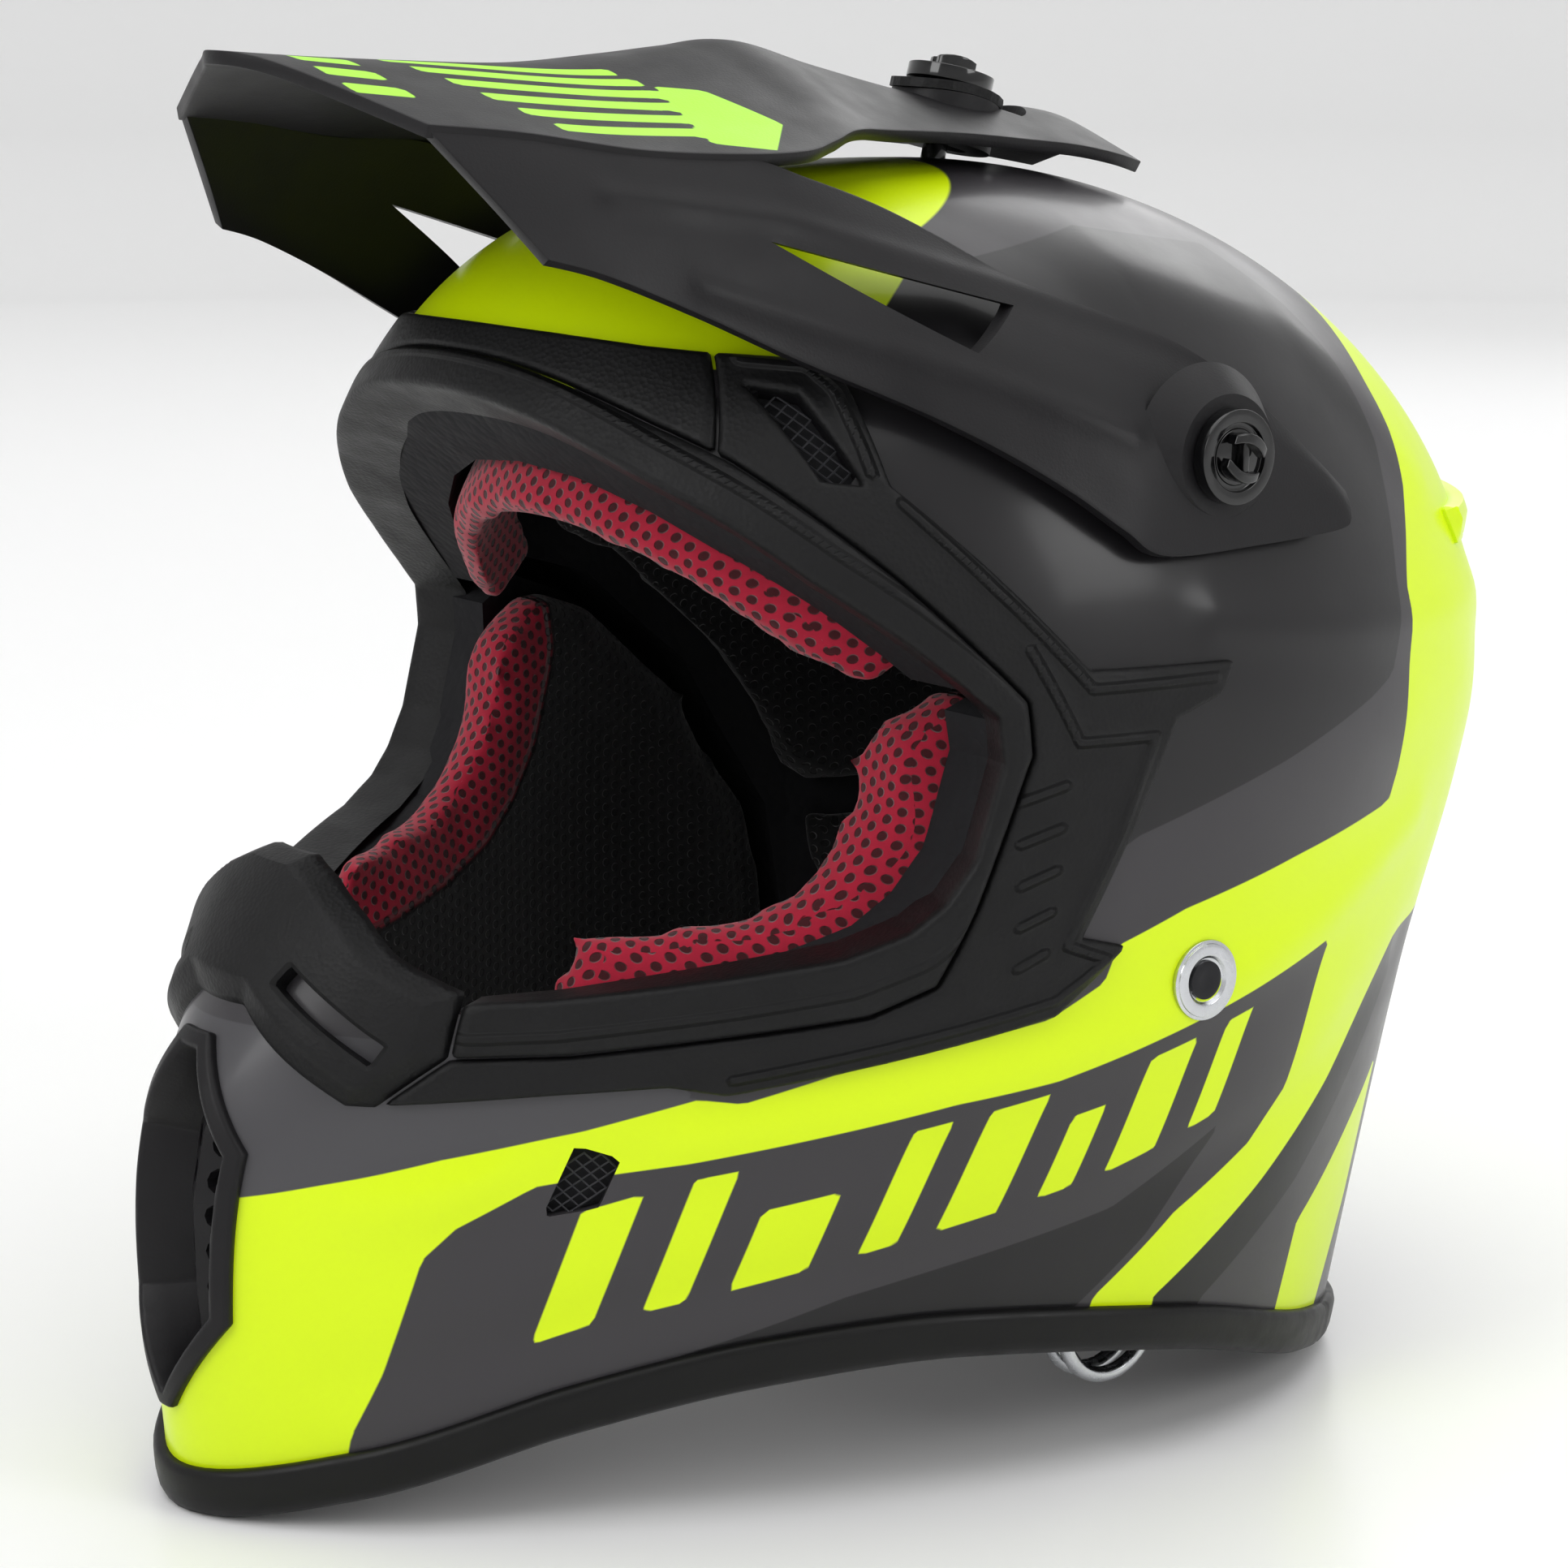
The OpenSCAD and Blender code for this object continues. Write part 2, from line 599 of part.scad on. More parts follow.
module peak() color([0.13, 0.13, 0.14]) {
  difference() {
    resize([0, 0, 0]) difference() {
      union() {
        sheet([for (k = [0 : 12]) roof_row(k)], [0, 0, -peak_t]);
        for (left = [true, false]) {
          on_side(left) sheet([for (k = [0 : 12]) arm_row(k)], peak_t * [-0.84, 0, -0.54]);
          screw_line(left) translate([0, 0, boss_x + 0.5]) cylinder(h = 5, d = peak_boss, $fn = 40);
        }
        crown_line() translate([0, 0, crown_r + 1.5]) cylinder(h = seat_r - crown_r, d = 26, $fn = 40);
      }
      // everything above the curved seat of the centre washer
      intersection() {
        hull() for (a = [-peak_tilt - 1, peak_tilt + 1])
          translate([0, piv_y, piv_z]) rotate([a - crown_a, 0, 0]) translate([0, 0, crown_r])
            cylinder(h = 60, d = 30, $fn = 40);
        difference() {
          translate([-20, piv_y, piv_z]) rotate([0, 90, 0]) cylinder(h = 40, r = seat_r + 40, $fn = 160);
          translate([-21, piv_y, piv_z]) rotate([0, 90, 0]) cylinder(h = 42, r = seat_r, $fn = 160);
        }
      }
      for (left = [true, false])
        screw_line(left) translate([0, 0, boss_x - 40]) cylinder(h = 40.5, d = peak_boss - 1, $fn = 40);
      across(arm_slot);
      // slot that lets the peak tilt under the centre screw
      hull() for (a = [-peak_tilt - 0.6, peak_tilt + 0.6])
        translate([0, piv_y, piv_z]) rotate([a - crown_a, 0, 0]) translate([0, 0, crown_r - 5])
          cylinder(h = 40, d = shank_d + 1, $fn = 24);
    }
    for (left = [true, false])
      screw_line(left) translate([0, 0, boss_x - 10]) cylinder(h = 30, d = shank_d + 2 * shank_run, $fn = 48);
  }
}

// finger screw: head underside at the origin, shank below
module finger_screw(reach) {
  rotate_extrude($fn = 72) polygon([
    [0, 0], [head_d / 2 - 0.6, 0], [head_d / 2, 0.6], [head_d / 2, head_t - 1],
    [head_d / 2 - 1.2, head_t], [head_d / 2 - 3, head_t], [head_d / 2 - 3.6, head_t - 0.8],
    [0, head_t - 0.8]]);
  translate([0, 0, head_t - 0.9]) rotate([0, 0, 20]) linear_extrude(height = wing_h + 0.9)
    polygon([[-6.2, -1.4], [-3.4, -2.3], [3.4, -2.3], [6.2, -1.4], [6.2, 1.4], [3.4, 2.3], [-3.4, 2.3], [-6.2, 1.4]]);
  translate([0, 0, -reach]) cylinder(h = reach + 0.5, d = shank_d, $fn = 48);
}
side_reach = 26;
module peak_screw_left() color([0.03, 0.03, 0.03]) {
  screw_line(true) translate([0, 0, boss_x + 5.7]) finger_screw(side_reach);
}
module peak_screw_right() color([0.03, 0.03, 0.03]) {
  screw_line(false) translate([0, 0, boss_x + 5.7]) finger_screw(side_reach);
}
module peak_screw_centre() color([0.03, 0.03, 0.03]) {
  crown_line() translate([0, 0, seat_r + 2.6]) finger_screw(seat_r - crown_r + 18);
}
module peak_washer() color([0.05, 0.05, 0.05]) {
  difference() {
    intersection() {
      crown_line() translate([0, 0, seat_r - 4]) linear_extrude(height = 6.4)
        polygon([for (a = [0 : 15 : 345]) [12.4 * cos(a), 14.4 * sin(a)]]);
      translate([-20, piv_y, piv_z]) rotate([0, 90, 0]) difference() {
        cylinder(h = 40, r = seat_r + 2.4, $fn = 160);
        translate([0, 0, -1]) cylinder(h = 42, r = seat_r + 0.2, $fn = 160);
      }
    }
    crown_line() translate([0, 0, seat_r - 8]) cylinder(h = 20, d = shank_d + 2 * shank_run, $fn = 48);
  }
}
module hex_nut() {
  difference() {
    union() {
      cylinder(h = 1.4, d = nut_af + 5, $fn = 48);
      translate([0, 0, -4.6]) cylinder(h = 4.7, d = nut_af / cos(30), $fn = 6);
    }
    translate([0, 0, -10]) cylinder(h = 20, d = shank_d + 2 * shank_run, $fn = 48);
  }
}
module peak_nuts() color([0.6, 0.6, 0.62]) {
  for (left = [true, false])
    screw_line(left) translate([0, 0, boss_x - boss_len - 1.5]) hex_nut();
  crown_line() translate([0, 0, crown_r - 9 - 1.5]) hex_nut();
}

module strap_rivet(left) color([0.75, 0.75, 0.77]) {
  rivet_line(left) {
    translate([0, 0, riv_x + 0.2]) rotate_extrude($fn = 72) polygon([
      [0, 0], [rivet_ring / 2, 0], [rivet_ring / 2, 0.8], [rivet_ring / 2 - 0.7, 1.5],
      [rivet_ring / 2 - 4, 1.7], [rivet_ring / 2 - 4.6, 0.9], [1.5, 1.5], [0, 1.6]]);
    translate([0, 0, riv_x - 10.5]) cylinder(h = 11, d = rivet_d, $fn = 48);
    translate([0, 0, riv_x - 6.3]) cylinder(h = 2.2, d = rivet_d + 4, $fn = 48);
    translate([0, 0, riv_x - 10.8]) cylinder(h = 2, d = rivet_d + 6, $fn = 48);
  }
}
module strap_rivet_left() strap_rivet(true);
module strap_rivet_right() strap_rivet(false);

plate_x = riv_x - 8.4;
module strap_plate(left) color([0.7, 0.7, 0.72]) {
  on_side(left) difference() {
    union() {
      translate([plate_x, riv_y, riv_z]) rotate([0, 90, 0]) cylinder(h = 1.6, d = 20, $fn = 48);
      translate([plate_x, riv_y - 10, riv_z - 20]) cube([1.6, 20, 20]);
    }
    translate([plate_x - 5, riv_y, riv_z]) rotate([0, 90, 0]) cylinder(h = 12, d = rivet_d + 2 * rivet_run, $fn = 48);
  }
}
module strap_plate_left() strap_plate(true);
module strap_plate_right() strap_plate(false);

// webbing: a ribbon of constant thickness along [x, z] stations measured from the plate
function ribbon_side(p, k, s) =
  let (
    a = p[max(k - 1, 0)],
    b = p[min(k + 1, len(p) - 1)],
    d = unit(b - a)
  )
  p[k] + s * strap_t / 2 * [-d[1], d[0]];
module ribbon(p) {
  n = len(p);
  translate([0, riv_y + strap_w / 2, 0]) rotate([90, 0, 0]) linear_extrude(height = strap_w)
    polygon(concat(
      [for (k = [0 : n - 1]) ribbon_side(p, k, 1)],
      [for (k = [n - 1 : -1 : 0]) ribbon_side(p, k, -1)]));
}
strap_x = plate_x - 0.1 - strap_t / 2;
path_top = [[strap_x, 106 * sz], [strap_x - 0.6 * sx, 90 * sz], [106.5 * sx, 70 * sz]];
path_left = concat(path_top, [[103 * sx, 57 * sz], [97 * sx, 46 * sz], [91 * sx, 40 * sz], [ring_x, ring_z + 2]]);
path_right = concat(path_top, [
  [102 * sx, 52 * sz], [96 * sx, 38 * sz], [87 * sx, 28 * sz], [74 * sx, 21 * sz],
  [56 * sx, 18 * sz], [30 * sx, 17 * sz]]);
module chin_strap_left() color([0.05, 0.05, 0.05]) {
  difference() {
    union() {
      ribbon(path_left);
      translate([ring_x - 6.2, riv_y - strap_w / 2, ring_z - 3.4]) cube([12.4, strap_w, 6.8]);
    }
    for (s = [-1, 1])
      translate([ring_x + s * ring_off, riv_y + strap_w, ring_z]) rotate([90, 0, 0])
        cylinder(h = strap_w * 2, d = ring_wire + 2 * ring_run, $fn = 48);
  }
}
module chin_strap_right() color([0.05, 0.05, 0.05]) {
  mirror([1, 0, 0]) difference() {
    ribbon(path_right);
    translate([40 * sx, riv_y, 0]) cylinder(h = 40, d = 4.2, $fn = 48);
  }
}
module strap_snap() color([0.2, 0.2, 0.2]) {
  translate([-40 * sx, riv_y, 17.4 * sz]) {
    translate([0, 0, -strap_t / 2 - 1.9]) cylinder(h = 1.6, d = 12, $fn = 48);
    translate([0, 0, -strap_t / 2 - 1]) cylinder(h = strap_t + 2, d = 4, $fn = 48);
    translate([0, 0, strap_t / 2 + 0.5]) cylinder(h = 1.6, d = 12, $fn = 48);
  }
}
module d_ring(x) {
  translate([x, riv_y, ring_z]) {
    translate([0, ring_half, 0]) rotate([90, 0, 0]) cylinder(h = 2 * ring_half, d = ring_wire, $fn = 48);
    for (s = [-1, 1]) {
      translate([0, s * ring_half, 0]) sphere(d = ring_wire, $fn = 48);
      translate([0, s * ring_half, -4]) cylinder(h = 4, d = ring_wire, $fn = 48);
    }
    translate([0, 0, -4]) rotate([0, 90, 0]) rotate([0, 0, -90])
      rotate_extrude(angle = 180, $fn = 72) translate([ring_half, 0]) circle(d = ring_wire, $fn = 48);
  }
}
module d_ring_outer() color([0.75, 0.75, 0.77]) d_ring(ring_x + ring_off);
module d_ring_inner() color([0.75, 0.75, 0.77]) d_ring(ring_x - ring_off);

outer_shell();
edge_bead();
eyeport_rim();
brow_trim();
side_trim_left();
side_trim_right();
nose_guard();
mouth_vent_bezel();
mouth_vent_plate();
chin_mesh_left();
chin_mesh_right();
brow_mesh_left();
brow_mesh_right();
rear_vent_left();
rear_vent_right();
rear_spoiler();
eps_liner();
chin_foam();
cheek_block_left();
cheek_block_right();
crown_liner();
brow_band();
cheek_pad_left();
cheek_pad_right();
neck_roll();
peak();
peak_screw_left();
peak_screw_right();
peak_screw_centre();
peak_washer();
peak_nuts();
strap_rivet_left();
strap_rivet_right();
strap_plate_left();
strap_plate_right();
chin_strap_left();
chin_strap_right();
strap_snap();
d_ring_outer();
d_ring_inner();
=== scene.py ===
import math

import bpy
import numpy as np
from mathutils import Matrix, Vector
from mathutils.bvhtree import BVHTree


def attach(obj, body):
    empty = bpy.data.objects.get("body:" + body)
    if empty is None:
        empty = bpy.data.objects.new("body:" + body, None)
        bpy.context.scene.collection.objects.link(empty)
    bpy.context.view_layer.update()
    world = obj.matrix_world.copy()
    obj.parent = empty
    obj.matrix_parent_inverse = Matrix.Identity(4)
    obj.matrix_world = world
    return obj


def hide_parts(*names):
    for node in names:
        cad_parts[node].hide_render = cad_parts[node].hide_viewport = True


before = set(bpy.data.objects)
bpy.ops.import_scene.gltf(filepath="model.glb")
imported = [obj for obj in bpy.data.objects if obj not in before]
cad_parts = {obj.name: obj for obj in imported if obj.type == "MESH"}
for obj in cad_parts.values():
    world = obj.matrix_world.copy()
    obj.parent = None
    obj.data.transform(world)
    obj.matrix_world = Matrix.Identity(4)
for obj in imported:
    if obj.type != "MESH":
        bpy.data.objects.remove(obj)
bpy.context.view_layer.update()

cameraSizes = {"azimuth": 53, "elevation": 11.5, "distance": 1.0, "target": (0, -0.006, 0.142), "lens": 96.9}
turn, rise = math.radians(cameraSizes["azimuth"]), math.radians(cameraSizes["elevation"])
towards = Vector((math.sin(turn) * math.cos(rise), -math.cos(turn) * math.cos(rise), math.sin(rise)))
bpy.ops.object.camera_add(location=Vector(cameraSizes["target"]) + towards * cameraSizes["distance"])
camera = bpy.context.object
camera.data.lens = cameraSizes["lens"]
camera.rotation_mode = "QUATERNION"
camera.rotation_quaternion = (-towards).to_track_quat("-Z", "Y")
bpy.context.scene.camera = camera


def clearSelection():
    if bpy.context.object and bpy.context.object.mode != "OBJECT":
        bpy.ops.object.mode_set(mode="OBJECT")
    bpy.ops.object.select_all(action="DESELECT")


def makeActive(piece):
    clearSelection()
    piece.select_set(True)
    bpy.context.view_layer.objects.active = piece


def editAll(piece):
    makeActive(piece)
    bpy.ops.object.mode_set(mode="EDIT")
    bpy.ops.mesh.select_mode(type="VERT")
    bpy.ops.mesh.select_all(action="SELECT")


def readTriples(items, key):  # a row of three numbers for each vertex or face
    values = np.zeros(len(items) * 3)
    items.foreach_get(key, values)
    return values.reshape(-1, 3)


def getCoords(piece):
    return readTriples(piece.data.vertices, "co")


def setCoords(piece, co):
    piece.data.vertices.foreach_set("co", np.ascontiguousarray(co, np.float32).ravel())
    piece.data.update()


def addField(piece, name, values):  # a number at every vertex, for the materials
    field = piece.data.attributes.get(name) or piece.data.attributes.new(name, "FLOAT", "POINT")
    field.data.foreach_set("value", np.asarray(values, np.float32))


def newPiece(name):
    piece = bpy.context.object
    piece.name = name
    piece.data.name = name
    return piece


def addGrid(name, columns, rows, size=2):
    clearSelection()
    bpy.ops.mesh.primitive_grid_add(x_subdivisions=columns, y_subdivisions=rows, size=size)
    return newPiece(name)


def addBlock(name, where, size=1):  # a cube stretched to its place
    clearSelection()
    bpy.ops.mesh.primitive_cube_add(size=size)
    piece = newPiece(name)
    piece.data.transform(where)
    return piece


def selectFaces(piece, rule):  # leaves the piece in edit mode
    editAll(piece)
    bpy.ops.mesh.select_mode(type="FACE")
    bpy.ops.mesh.select_all(action="DESELECT")
    bpy.ops.object.mode_set(mode="OBJECT")
    for face in piece.data.polygons:
        face.select = rule(face)
    bpy.ops.object.mode_set(mode="EDIT")


def selectOpenEdges():
    bpy.ops.mesh.select_mode(type="EDGE")
    bpy.ops.mesh.select_all(action="DESELECT")
    bpy.ops.mesh.select_non_manifold(extend=False, use_wire=False, use_boundary=True, use_multi_face=False,
                                     use_non_contiguous=False, use_verts=False)


def smooth(piece, angle):
    makeActive(piece)
    bpy.ops.object.shade_smooth_by_angle(angle=math.radians(angle))


def finishModifier(piece, kind, **settings):
    makeActive(piece)
    modifier = piece.modifiers.new(kind.title(), kind)
    for key, value in settings.items():
        setattr(modifier, key, value)
    bpy.ops.object.modifier_apply(modifier=modifier.name)


def weld(piece, distance=0.00002, outward=False):
    editAll(piece)
    bpy.ops.mesh.remove_doubles(threshold=distance)
    if outward:
        bpy.ops.mesh.normals_make_consistent(inside=False)
    bpy.ops.object.mode_set(mode="OBJECT")


def joinInto(piece, *others):
    clearSelection()
    for other in others:
        other.select_set(True)
    piece.select_set(True)
    bpy.context.view_layer.objects.active = piece
    bpy.ops.object.join()


def cutWith(piece, tool, operation="DIFFERENCE"):  # uses the tool up
    makeActive(piece)
    modifier = piece.modifiers.new("Cut", "BOOLEAN")
    modifier.operation, modifier.object, modifier.solver = operation, tool, "MANIFOLD"
    before = len(piece.data.vertices)
    bpy.ops.object.modifier_apply(modifier=modifier.name)
    print("  ", operation.lower(), piece.name, before, "->", len(piece.data.vertices), "points")
    bpy.data.objects.remove(tool)


def mirrorPiece(piece, name):  # a copy of its own on the other side
    other = piece.copy()
    other.data = piece.data.copy()
    bpy.context.scene.collection.objects.link(other)
    other.name, other.data.name = name, name
    other.data.transform(Matrix.Scale(-1, 4, (1, 0, 0)))
    other.data.flip_normals()
    for key in [k for k in other.keys() if k.startswith("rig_")]:
        del other[key]
    other.parent = None
    return other


def place(piece, body, nodes, material):
    piece.data.materials.clear()
    piece.data.materials.append(material)
    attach(piece, body)
    if nodes:
        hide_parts(*nodes)


shellSizes = {  # mm, by angle from the chin round to the nape
    "angles": [0, 12, 25, 40, 60, 90, 120, 150, 180],
    "edgeRadius": [197, 178, 151, 132, 116, 108, 106, 108, 108],
    "edgeHeight": [4.6, 12.5, 27, 36, 38, 30, 14, 4.6, 4.6],
    "cheekRadius": [201, 177, 152, 136, 125, 118, 118, 126, 130],
    "cheekHeight": [75, 78, 82, 86, 90, 92, 92, 90, 88],
    "midRadius": [178, 168, 150, 138, 129, 122, 125, 140, 148],
    "midHeight": [125, 125, 128, 132, 135, 138, 140, 140, 140],
    "domeRadius": [140, 139, 136, 133, 128, 124, 129, 144, 151.5],
    "domeHeight": [185, 185, 182, 178, 174, 170, 168, 168, 168],
    "domeRound": [.62, .62, .66, .74, .86, .94, 1, 1, 1],
    "domeRise": [.95, .95, .95, .95, .95, .97, 1, 1, 1],
    "crownHeight": 288, "axisY": 25, "wall": 3.2}
headMiddle = [0, 0.025, 0.13]  # in metres, inside the shell


def hermite(s, a, b, slopeA, slopeB):
    return ((2 * s**3 - 3 * s**2 + 1) * a + (s**3 - 2 * s**2 + s) * slopeA
            + (3 * s**2 - 2 * s**3) * b + (s**3 - s**2) * slopeB)


def roundShell(key, angle):  # a table's value at any angle
    stations, v = np.array(shellSizes["angles"], float), np.array(shellSizes[key], float)
    slopes = np.zeros(9)
    slopes[1:-1] = (v[2:] - v[:-2]) / (stations[2:] - stations[:-2])
    k = np.clip(np.searchsorted(stations, angle, side="right") - 1, 0, 7)
    width = stations[k + 1] - stations[k]
    return hermite((angle - stations[k]) / width, v[k], v[k + 1], width * slopes[k], width * slopes[k + 1])


def upRings(rings, last, up):
    m = np.stack([rings[1] - rings[0], (rings[2] - rings[0]) / 2, (rings[3] - rings[1]) / 2, last])
    k = np.clip((up / 0.15).astype(int), 0, 2)
    n = np.arange(len(up))
    return hermite(up / 0.15 - k, rings[k, n], rings[k + 1, n], m[k, n], m[k + 1, n])


def shellFace(angle, up):  # up is 0 at the bottom edge, 1 at the crown
    fold = np.abs((angle + 180) % 360 - 180)
    names = ("edge", "cheek", "mid", "dome")
    radii = np.stack([roundShell(n + "Radius", fold) for n in names])
    heights = np.stack([roundShell(n + "Height", fold) for n in names])
    low = np.clip(up, 0, 0.45)
    f = np.radians(np.clip((up - 0.45) / 0.55, 0, 1) * 90)
    c = np.clip(np.cos(f), 0, 1)
    r = np.where(up <= 0.45, upRings(radii, radii[3] * 0, low), radii[3] * c ** roundShell("domeRound", fold))
    r = np.where(up >= 0.99999, 0, r)
    z = np.where(up <= 0.45, upRings(heights, heights[3] - heights[2], low),
                 heights[3] + (shellSizes["crownHeight"] - heights[3]) * np.sin(f) ** roundShell("domeRise", fold))
    a = np.radians(angle)
    return np.stack([r * np.sin(a), shellSizes["axisY"] - r * np.cos(a), z], -1)


def shellAt(angle, up, out):  # a point out from the shell's face, along its normal
    p = shellFace(angle, up)
    across = shellFace(angle + 0.6, up) - shellFace(angle - 0.6, up)
    along = shellFace(angle, np.minimum(up + 0.006, 0.995)) - shellFace(angle, np.clip(up - 0.006, 0, 0.98))
    n = np.cross(across, along)
    size = np.linalg.norm(n, axis=1)
    n = np.where((size < 1e-6)[:, None] | (up > 0.993)[:, None], [0, 0, 1.0], n / np.maximum(size, 1e-9)[:, None])
    return p + n * np.asarray(out, float).reshape(-1, 1)


def depthIn(outline, a, b):  # how deep a point lies inside an outline, below 0 outside it
    corners = np.array(outline, float)
    nearest, odd = np.full(a.shape, 1e9), np.zeros(a.shape, bool)
    for (x0, y0), (x1, y1) in zip(corners, np.roll(corners, -1, 0)):
        ex, ey = x1 - x0, y1 - y0
        s = np.clip(((a - x0) * ex + (b - y0) * ey) / (ex * ex + ey * ey), 0, 1)
        nearest = np.minimum(nearest, np.hypot(a - x0 - s * ex, b - y0 - s * ey))
        odd ^= ((y0 > b) != (y1 > b)) & (a < ex * (b - y0) / (ey if ey else 1) + x0)
    return np.where(odd, nearest, -nearest)


def nearLine(line, a, b):  # distance to an open line of points
    nearest = np.full(a.shape, 1e9)
    for (x0, y0), (x1, y1) in zip(line[:-1], line[1:]):
        ex, ey = x1 - x0, y1 - y0
        s = np.clip(((a - x0) * ex + (b - y0) * ey) / (ex * ex + ey * ey), 0, 1)
        nearest = np.minimum(nearest, np.hypot(a - x0 - s * ex, b - y0 - s * ey))
    return nearest


def sideIn(outline, p):
    return depthIn(outline, p[:, 1], p[:, 2])


def frontIn(outline, p):  # only on the front half
    return np.where(p[:, 1] < -60, depthIn(outline, p[:, 0], p[:, 2]), -50)


def bothWays(half):  # a front outline from its half
    return half + [(-x, z) for x, z in reversed(half)]


outlines = {  # side views are (y, z), front and rear views (x, z), in mm
    "eye": [(-200, 300), (-110, 250), (-98, 238), (-89, 228), (-78, 218), (-67, 207), (-54, 196),
            (-42, 185), (-35, 178), (-34, 168), (-40, 148), (-46, 139), (-53, 133), (-65, 128),
            (-86, 124), (-114, 119), (-128, 118), (-137, 123), (-143, 133), (-150, 143), (-200, 160)],
    "rim": [(-200, 330), (-112, 264), (-97, 250), (-84, 238), (-75, 231), (-52, 207), (-29, 181),
            (-28, 170), (-33, 156), (-40, 137), (-47, 121), (-60, 115), (-86, 111), (-112, 107),
            (-136, 106), (-150, 110), (-160, 128), (-200, 140)],
    "nose": bothWays([(8, 144), (17, 140.5), (28, 134), (37, 127), (50, 120), (49, 106), (39, 95), (34, 95),
                      (9, 113.5)]),
    "noseSlot": [(17, 118), (19, 122), (40, 108.5), (38, 104)],
    "mouth": bothWays([(5, 107), (20, 84), (18, 46), (2, 24)]),
    "chinVent": [(-111, 87), (-103, 84), (-107, 73), (-117, 71)],
    "browVent": [(-67, 245.5), (-59.5, 244), (-54, 226), (-61, 227)],
    "rearVent": [(24, 192), (52, 182), (48, 160), (28, 166)],
    "browTrim": [(-125, 258), (-94, 256), (-78, 253), (-69.5, 252), (-78, 228), (-98, 244), (-125, 252)],
    "sideTrim": [(-69, 252), (-56, 251), (-50, 247), (-49, 226), (-34, 209), (-15, 187), (22, 186),
                 (18, 179), (6, 175), (-4, 153), (-16, 129), (-5, 126), (-21, 112), (-85, 98), (-95, 100),
                 (-145.5, 95.4), (-145.5, 130), (-77.5, 228)]}
barTops = ([-150, -91, -41, 5, 36, 60], [58, 79, 90, 99, 106, 112])  # the two lines the bars stand between
barFeet = ([-150, -122, -110, -76, -25, -4, 22, 60], [30, 41, 46, 55, 68, 73, 81, 92])
barSizes = [(-119, 11, 1), (-99, 8, 1), (-83, 15, 0.62), (-58, 8, 1),
            (-42, 13, 1), (-20, 8, 0.7), (-4, 13, 1), (18, 8, 1)]  # start, width, share of the full height
barSlant = 9


def barOutline(start, width, share):
    low = lambda y: float(np.interp(y, *barFeet))
    high = lambda y: low(y) + share * (float(np.interp(y, *barTops)) - low(y))
    return [(start, low(start)), (start + width, low(start + width)),
            (start + width + barSlant * share, high(start + width + barSlant * share)),
            (start + barSlant * share, high(start + barSlant * share))]


graphics = {  # painted areas in side view
    "neon": [
        [(-220, 62), (-160, 76), (-149, 79), (-134, 84), (-110, 90), (-90, 97), (-82, 96), (-65, 102), (-45, 107),
         (-22, 111), (-9, 118), (-6, 126), (12, 132), (47, 139), (84, 145), (86, 152), (89, 193), (100, 215),
         (104, 236), (112, 262), (260, 262), (260, 122), (104, 108), (72, 80), (46, 61), (15, 40), (12, 0),
         (-12, 0), (-2, 43), (18, 60), (41, 72), (52, 83), (58, 104), (62, 117), (34, 110), (5, 103), (-19, 97),
         (-41, 94), (-91, 83), (-118, 78), (-132, 69), (-138, 62), (-145, 36), (-150, 22), (-153, 0), (-220, 0)],
        [(108, 76), (92, 65), (66, 46), (56, 0), (78, 0), (100, 42)],
        [(35, 330), (35, 291), (-11, 276), (-35, 260), (-56, 248), (-78, 250), (-125, 230), (-125, 330)],
        *[barOutline(*b) for b in barSizes]],
    "black": [
        [(-60, 255), (-20, 268), (30, 275), (75, 269), (87, 255), (91, 246), (92, 238), (93, 225), (84, 192),
         (80, 176), (71, 172), (40, 162), (-2, 150), (-20, 140), (-80, 140), (-120, 200)],
        [(-134, 6), (-118, 30), (-60, 50), (0, 64), (30, 80), (10, 56), (-8, 40), (-30, 0), (-130, 0)],
        [(15, 40), (46, 61), (72, 80), (104, 108), (106, 98), (84, 78), (62, 58), (30, 36), (20, 0), (13, 0)]],
    "grey": [[(-220, 62), (-160, 76), (-149, 79), (-134, 84), (-110, 90), (-90, 97), (-100, 108), (-220, 112)]]}

colours = {"neon": "D6F200", "charcoal": "363437", "black": "151416", "grey": "454447", "lime": "A9F23C",
           "peak": "141315", "trim": "0D0D0E", "bead": "090909", "red": "A3122F", "cloth": "101011",
           "foam": "1C1C1E", "web": "0D0D0F", "steel": "C4C6C9", "screw": "070708", "snap": "2C2C2E", "wire": "3A3A3D"}


def linear(name):
    raw = colours[name]
    channels = [int(raw[i:i + 2], 16) / 255 for i in (0, 2, 4)]
    return (*[c / 12.92 if c <= 0.04045 else ((c + 0.055) / 1.055) ** 2.4 for c in channels], 1)


def openSocket(sockets, key):
    return sockets[key] if isinstance(key, int) else next(s for s in sockets if s.enabled and s.name == key)


def addNode(tree, kind, inputs=None, **settings):  # inputs that are sockets are linked, the rest are set
    made = tree.nodes.new(kind)
    for key, value in settings.items():
        setattr(made, key, value)
    for key, value in (inputs or {}).items():
        socket = openSocket(made.inputs, key)
        if isinstance(value, bpy.types.NodeSocket):
            tree.links.new(value, socket)
        else:
            socket.default_value = value[:3] if socket.type == "VECTOR" else value
    return made


def newMaterial(name, **settings):
    material = bpy.data.materials.new(name)
    material.use_nodes = True
    shader = material.node_tree.nodes["Principled BSDF"]
    shader.inputs["Specular IOR Level"].default_value = 0.5 if "Metallic" in settings else 0.24
    for key, value in settings.items():
        shader.inputs[key].default_value = value
    return material, material.node_tree, shader


def sumOf(tree, kind, a, b=0.0, c=0.0):
    return addNode(tree, "ShaderNodeMath", {0: a, 1: b, 2: c}, operation=kind).outputs[0]


